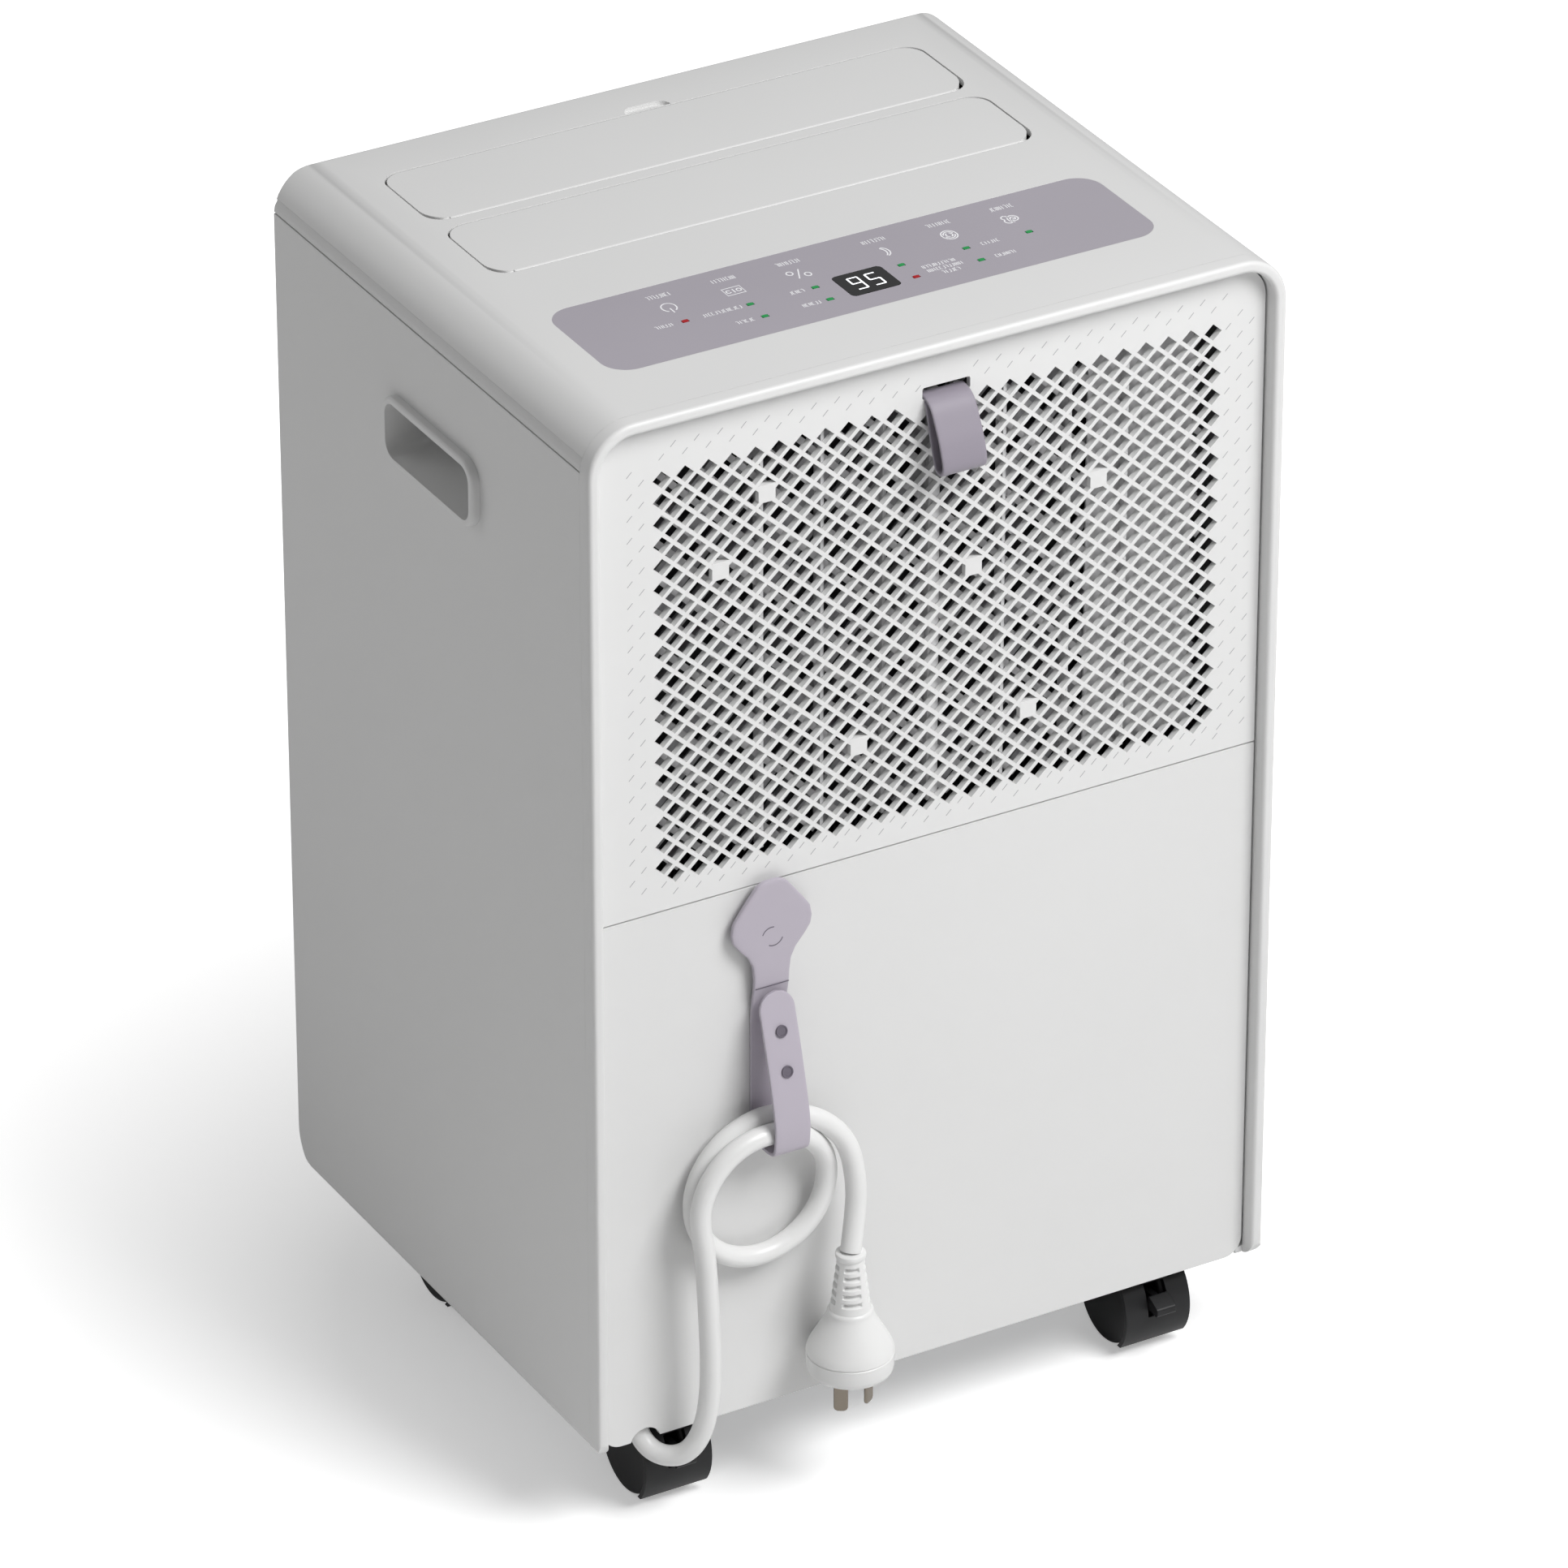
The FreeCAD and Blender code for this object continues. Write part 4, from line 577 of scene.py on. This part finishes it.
mark_corners = block(0.16 * mm, 0.04 * mm, 1.75 * mm)
lean = math.radians(45)
slant = np.array([[math.cos(lean), 0, -math.sin(lean)], [0, 1, 0], [math.sin(lean), 0, math.cos(lean)]])
spots = []
for x, stagger in ((145.2, 0.0), (139.6, 0.5), (-143.4, 0.5), (-149.2, 0.0), (-155.0, 0.5)):
    spots += [(x * mm, FIRST_Z - PITCH_Z * (row - 0.5 + stagger)) for row in range(20)]
for row, stagger in ((0.95, 0.0), (1.42, 0.5), (-18.95, 0.0), (-19.4, 0.5)):
    spots += [(FIRST_X - PITCH_X * (column + stagger), FIRST_Z + PITCH_Z * row) for column in range(25)]
spots = [(x, panel_y, z) for x, z in spots if abs(x + 5.5 * mm) > 13 * mm or z < FIRST_Z - 20 * mm]
mark_grey = finish("mark_grey", (0.36, 0.36, 0.37), 0.6)
scattered("filter_margin_marks", mark_corners @ slant.T, BOX_FACES, spots, mark_grey,
                  "filter_door")

grid_face = panel_y - 3.3 * mm
left_x, right_x, low_z, high_z = -134.0 * mm, 134.0 * mm, FIRST_Z - 191 * mm, FIRST_Z + 5 * mm


def slanted_bars(rise, pitch, shift):
    """Ends of the parallel lines z = rise * x + c that cross the lattice's field, cut at its edges."""
    reach = (right_x - left_x) + (high_z - low_z)
    bars = []
    for c in np.arange(low_z - reach + shift, high_z + reach, pitch * math.sqrt(2)):
        xs = sorted([(low_z - c) / rise, (high_z - c) / rise])
        a, b = max(xs[0], left_x), min(xs[1], right_x)
        if b - a > 4 * mm:
            bars.append(((a, rise * a + c), (b, rise * b + c)))
    return bars


def bar_boxes(name, bars, half_width, near, far, material):
    """Straight bars of rectangular section between given ends, in the plane of the filter."""
    ends = np.array(bars, float)
    along = ends[:, 1] - ends[:, 0]
    along /= np.linalg.norm(along, axis=1, keepdims=True)
    side = np.c_[-along[:, 1], along[:, 0]] * half_width
    corners = []
    for end in (0, 1):
        for sign in (-1, 1):
            edge = ends[:, end] + sign * side
            for depth in (near, far):
                corners.append(np.c_[edge[:, 0], np.full(len(edge), depth), edge[:, 1]])
    points = np.stack(corners, axis=1)
    every = (np.arange(len(points))[:, None, None] * 8 + np.array(BOX_FACES)[None]).reshape(-1, 4)
    mesh = bpy.data.meshes.new(name)
    mesh.from_pydata(points.reshape(-1, 3).tolist(), [], every.tolist())
    return place_mesh(name, mesh, material, "filter_door")


cartridge_white = finish("cartridge_white", (0.56, 0.56, 0.565), 0.5, mottle=0.12)
# the falling grid behind is the same cartridge plastic, made darker than the rising grid in front: painted
# shade of its depth
cartridge_painted_shade_grey = finish("cartridge_painted_shade_grey", (0.30, 0.30, 0.31), 0.55, mottle=0.25)
# a solid near-black sheet that stands for the filter net; its darkness is painted shade of the depths
# behind the lattice
net_black_painted_shade = finish("net_black_painted_shade", (0.012, 0.012, 0.013), 0.7, grain=0.6, grain_size=0.8, mottle=0.3)
front_bars = bar_boxes("filter_grid_rising", slanted_bars(1.0, 11.6 * mm, 0.0), 1.5 * mm,
                       grid_face - 2.5 * mm, grid_face - 5.5 * mm, cartridge_white)
back_bars = bar_boxes("filter_grid_falling", slanted_bars(-1.0, 12.9 * mm, 3 * mm), 2.0 * mm,
                      grid_face - 5.5 * mm, grid_face - 9.0 * mm, cartridge_painted_shade_grey)
ribs = [((x * mm, low_z), (x * mm, high_z)) for x in (81, 52, 22, -36, -68, -96)]
rib_bars = bar_boxes("filter_ribs", ribs, 0.8 * mm, grid_face, grid_face - 6.0 * mm, cartridge_white)
spine = bar_boxes("filter_spine", [((-2 * mm, low_z), (-2 * mm, high_z))], 2.6 * mm, grid_face,
                  grid_face - 7.0 * mm, cartridge_white)
plate = bar_boxes("filter_side_plate", [((-105 * mm, low_z), (-105 * mm, high_z))], 26 * mm,
                  grid_face - 4.0 * mm, grid_face - 5.0 * mm, cartridge_white)
# the filter net as one dark sheet: partly the real net, partly painted shade
net_shade_sheet = bar_boxes("filter_net", [((left_x, (low_z + high_z) / 2), (right_x, (low_z + high_z) / 2))],
                (high_z - low_z) / 2, grid_face - 12.0 * mm, grid_face - 12.6 * mm, net_black_painted_shade)
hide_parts("filter_mesh")


# ---- Pull strap of the filter cover ------------------------------------------------------------
# A folded lilac ribbon, both ends through a slot near the cover's top edge, hanging as a loop.
def ribbon(name, path, half_widths, half_thicks, centre_x, material, body, around=28):
    """A flat band carried along a path in the y-z plane: the section is a rounded rectangle
    (superellipse) of the half width along x and the half thickness along the path's normal."""
    path = np.array(path, float)
    along = np.gradient(path, axis=0)
    along /= np.linalg.norm(along, axis=1, keepdims=True) + 1e-12
    normal = np.c_[-along[:, 1], along[:, 0]]
    turn = np.linspace(0, 2 * np.pi, around, endpoint=False)
    c, s = np.cos(turn), np.sin(turn)
    across = np.sign(c) * np.abs(c) ** 0.16
    through = np.sign(s) * np.abs(s) ** 0.42
    x = centre_x + np.outer(half_widths, across)
    shift = np.outer(half_thicks, through)
    y = path[:, :1] + shift * normal[:, :1]
    z = path[:, 1:] + shift * normal[:, 1:]
    return solid_from_grid(name, np.stack([x, y, z], -1), material, body)


def even(points, count):
    """The curve through the points (Catmull-Rom), resampled at even steps along its length."""
    dense = smooth_profile(points, 24)
    length = np.r_[0, np.cumsum(np.linalg.norm(np.diff(dense, axis=0), axis=1))]
    want = np.linspace(0, length[-1], count)
    return np.c_[np.interp(want, length, dense[:, 0]), np.interp(want, length, dense[:, 1])], want


pull_low, pull_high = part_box("filter_pull_strap")
pull_x = (pull_low.x + pull_high.x) / 2
slot_z = pull_high.z - 4.5 * mm
foot_z = slot_z - 33 * mm
PULL_STEPS = 110
p = panel_y
pull_path, _ = even([(p - 4 * mm, slot_z - 1.6 * mm), (p + 1.5 * mm, slot_z - 2.6 * mm),
                     (p + 5.6 * mm, slot_z - 5.6 * mm), (p + 9.6 * mm, slot_z - 12.5 * mm),
                     (p + 13.2 * mm, slot_z - 20 * mm), (p + 15.6 * mm, foot_z + 5 * mm),
                     (p + 14.2 * mm, foot_z + 1.4 * mm), (p + 10.6 * mm, foot_z + 1.0 * mm),
                     (p + 8.2 * mm, foot_z + 4.5 * mm), (p + 4.6 * mm, slot_z - 18 * mm),
                     (p + 1.9 * mm, slot_z - 8.2 * mm), (p + 0.3 * mm, slot_z - 4.4 * mm),
                     (p - 4 * mm, slot_z - 3.4 * mm)], PULL_STEPS)
ribbon_lilac = finish("ribbon_lilac", (0.265, 0.24, 0.285), 0.55, grain=0.35, grain_size=0.5,
                      sheen=0.2)
pull = ribbon("filter_pull_loop", pull_path, np.full(PULL_STEPS, 10.6 * mm),
              np.full(PULL_STEPS, 0.8 * mm), pull_x, ribbon_lilac, "filter_door")
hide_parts("filter_pull_strap")


# ---- Cord strap --------------------------------------------------------------------------------
# One lilac silicone moulding: a shield-shaped head on a puck, a neck, and a long tongue that runs
# down the panel, loops round the cord and buttons back on itself.
strap_x = 80.8 * mm
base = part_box("side_panel_right")[0].z         # the casing's lower edge; heights are counted from it
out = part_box("cord_strap")[1].y
silicone = finish("silicone_lilac", (0.44, 0.405, 0.465), 0.46, grain=0.25, grain_size=0.5,
                  mottle=0.02)


def up(height):
    return base + height * mm


head_y = panel_y + 4.1 * mm
strap_path, travel = even([(head_y, up(264.5)), (head_y, up(250)), (head_y, up(232)), (head_y, up(219)),
                           (head_y - 0.5 * mm, up(212)), (p + 2.0 * mm, up(204)), (p + 1.1 * mm, up(192)),
                           (p + 1.1 * mm, up(165)), (p + 1.2 * mm, up(145.5)), (p + 3.2 * mm, up(140.0)),
                           (p + 8.5 * mm, up(138.2)), (p + 16.0 * mm, up(138.0)),
                           (out - 2.6 * mm, up(139.8)), (out - 1.1 * mm, up(145)),
                           (out - 1.2 * mm, up(155)), (p + 18.6 * mm, up(171)),
                           (p + 13.2 * mm, up(190)), (p + 8.6 * mm, up(205)),
                           (p + 7.0 * mm, up(211.5))], 260)
from_top = travel
from_end = travel[-1] - travel
shield = np.interp(from_top, np.array([0, .4, 1.5, 3.2, 6, 12, 17, 22, 26, 30, 35, 40, 46, 52]) * mm,
                   np.array([3.2, 4.8, 6.8, 8.4, 10.6, 15.2, 18.6,
                             19.5, 18.8, 16.0, 11.6, 9.2, 8.5, 8.5]) * mm)
rounded_end = 8.5 * mm * np.sqrt(np.clip(1 - (1 - np.clip(from_end / (8.5 * mm), 0, 1)) ** 2, 0.0004, 1))
half_widths = np.where(from_top < 52 * mm, shield, np.minimum(8.5 * mm, rounded_end))
half_thicks = np.interp(from_top, np.array([0, 1.0, 44, 54]) * mm, np.array([0.9, 1.4, 1.4, 0.95]) * mm)
strap = ribbon("cord_strap_band", strap_path, half_widths, half_thicks, strap_x, silicone, "casing", 40)
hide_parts("cord_strap")


def disc_stack(name, profile, centre, material, body, around=40, axis_tilt=None):
    """Rings of radius r at depth y about an axis along y: a turned piece lying on its side."""
    profile = np.array(profile, float)
    angle = np.linspace(0, 2 * np.pi, around, endpoint=False)
    radius, turn = np.meshgrid(profile[:, 0], angle, indexing="ij")
    depth = np.repeat(profile[:, 1:], around, axis=1)
    points = np.stack([radius * np.cos(turn), depth, radius * np.sin(turn)], -1)
    if axis_tilt is not None:
        c, s = math.cos(axis_tilt), math.sin(axis_tilt)
        points = points @ np.array([[1, 0, 0], [0, c, s], [0, -s, c]])
    return solid_from_grid(name, points + np.array(centre), material, body)


puck = disc_stack("cord_strap_puck", [(0.01 * mm, p), (11.5 * mm, p), (11 * mm, p + 3.0 * mm),
                                      (0.01 * mm, p + 3.0 * mm)], (strap_x, 0, up(241)), silicone, "casing")
# darker lilac for the strap's two holes, the ring groove on its head and its crease: painted shade in the
# hollows of the one silicone moulding
strap_painted_shade = finish("strap_lilac_painted_shade", (0.13, 0.115, 0.145), 0.5)
tilt = math.atan2(9.9, 35)
for number, (height, depth) in enumerate(((194.5, 12.75), (177.0, 17.7))):
    hole = [(0.01 * mm, 0.62 * mm), (2.0 * mm, 0.62 * mm), (2.15 * mm, 0.95 * mm), (2.6 * mm, 1.02 * mm),
            (2.75 * mm, 0.85 * mm), (2.75 * mm, 0.2 * mm), (0.01 * mm, 0.2 * mm)]
    stud = disc_stack("strap_hole_%d" % number, hole, (strap_x, p + depth * mm, up(height)),
                      strap_painted_shade, "casing", 40, tilt)


def upright_strokes(name, strokes, width, y, material):
    """Thin raised lines on an upright face: polylines in x and z, widened in that plane."""
    flat = print_strokes(name, [np.array(s, float)[:, :2] for s in strokes], width, 0.0, material)
    co = np.zeros(len(flat.data.vertices) * 3)
    flat.data.vertices.foreach_get("co", co)
    co = co.reshape(-1, 3)
    flat.data.vertices.foreach_set("co", np.c_[co[:, 0], np.full(len(co), y), co[:, 1]].ravel())
    flat.data.flip_normals()
    return flat


# the ring groove and the crease are drawn as dark lines: painted shade
ring_mark = [arc(strap_x - 0.5 * mm, up(237.5), 4.6 * mm, 200, 300),
             arc(strap_x + 0.5 * mm, up(237.5), 4.6 * mm, 20, 105)]
upright_strokes("strap_ring_mark", ring_mark, 0.55 * mm, head_y + 1.44 * mm, strap_painted_shade)
crease = [[(strap_x - 8.2 * mm, up(213.2)), (strap_x + 8.2 * mm, up(213.2))]]
upright_strokes("strap_crease", crease, 0.5 * mm, head_y + 0.98 * mm, strap_painted_shade)


# ---- Casters -----------------------------------------------------------------------------------
# Twin-wheel furniture casters in black nylon: hooded fork, two discs on one axle, and a toe brake on
# the rear pair.
nylon = finish("caster_nylon", (0.011, 0.011, 0.012), 0.42, grain=0.25, grain_size=0.4, soften=0.5,
               specular=0.35, mottle=0.15)
wheel_nylon = finish("wheel_nylon", (0.008, 0.008, 0.009), 0.36, grain=0.15, grain_size=0.5,
                     specular=0.35, mottle=0.15)
dress([n for n in nodes if n.startswith("caster_fork") or n.startswith("caster_brake")], nylon)
dress([n for n in nodes if n.startswith("caster_wheels")], wheel_nylon)


# ---- Tank --------------------------------------------------------------------------------------
# Translucent polypropylene tray with a carrying bail and a float, behind its moulded front.
dress(["water_tank"], finish("tank_polypropylene", (0.62, 0.66, 0.70), 0.3, mottle=0.03))
dress(["tank_bail", "tank_float"], finish("bail_grey", (0.40, 0.40, 0.42), 0.45, mottle=0.03))
dress(["tank_window"], finish("window_tint", (0.16, 0.19, 0.23), 0.12, coat=0.4))


# ---- Inner parts -------------------------------------------------------------------------------
# What shows through the lattice and from below: fins, drip tray, fan, compressor, pipes, base pan.
BANDS_TO_SCALE = 0.314                     # the wave texture's scale times the width of one band


def finned(name, colour, pitch):
    """Thin upright fins: painted shade in the gaps and the fins' own colour on their edges alternate along
    x as a wave of that pitch.
    """
    material = finish(name, colour, 0.4, metallic=0.8)
    tree = material.node_tree
    bsdf = tree.nodes["Principled BSDF"]
    where = tree.nodes.new("ShaderNodeTexCoord")
    wave = tree.nodes.new("ShaderNodeTexWave")
    wave.bands_direction = "X"
    wave.inputs["Scale"].default_value = BANDS_TO_SCALE / (pitch * mm)
    tree.links.new(where.outputs["Object"], wave.inputs["Vector"])
    shade = tree.nodes.new("ShaderNodeValToRGB")
    # the ramp's near-black end is painted shade in the gaps between the fins
    shade.color_ramp.elements[0].color = (0.01, 0.01, 0.012, 1)
    shade.color_ramp.elements[1].color = (*colour, 1)
    tree.links.new(wave.outputs["Fac"], shade.inputs["Fac"])
    tree.links.new(shade.outputs["Color"], bsdf.inputs["Base Color"])
    return material


FIN_PITCH = 2.6
fins = finned("coil_fins_painted_gap_shade", (0.10, 0.105, 0.11), FIN_PITCH)
dress(["evaporator", "condenser"], fins, smooth=False)
dress(["base_pan", "fan_motor"], finish("zinc_steel", (0.50, 0.51, 0.52), 0.38, metallic=0.9, mottle=0.12))
dress(["compressor"], finish("black_enamel", (0.02, 0.02, 0.022), 0.3, mottle=0.1))
dress(["refrigerant_pipes"], finish("copper", (0.62, 0.30, 0.18), 0.3, metallic=1.0, mottle=0.1))
dress(["control_board", "display_board"], finish("board_green", (0.03, 0.14, 0.06), 0.45, mottle=0.1))
dress(["compressor_grommets"], finish("grommet_rubber", (0.02, 0.02, 0.02), 0.8))
dress(["cord_gland"], cord_pvc)
dress(["bay_back_wall", "bay_ceiling", "drip_tray", "fan_scroll", "outlet_grille", "tank_switch",
       "outlet_link", "run_capacitor"], finish("inner_plastic", (0.50, 0.50, 0.50), 0.5, mottle=0.03))
dress(["fan_wheel"], finish("fan_plastic", (0.05, 0.05, 0.055), 0.5, mottle=0.05))
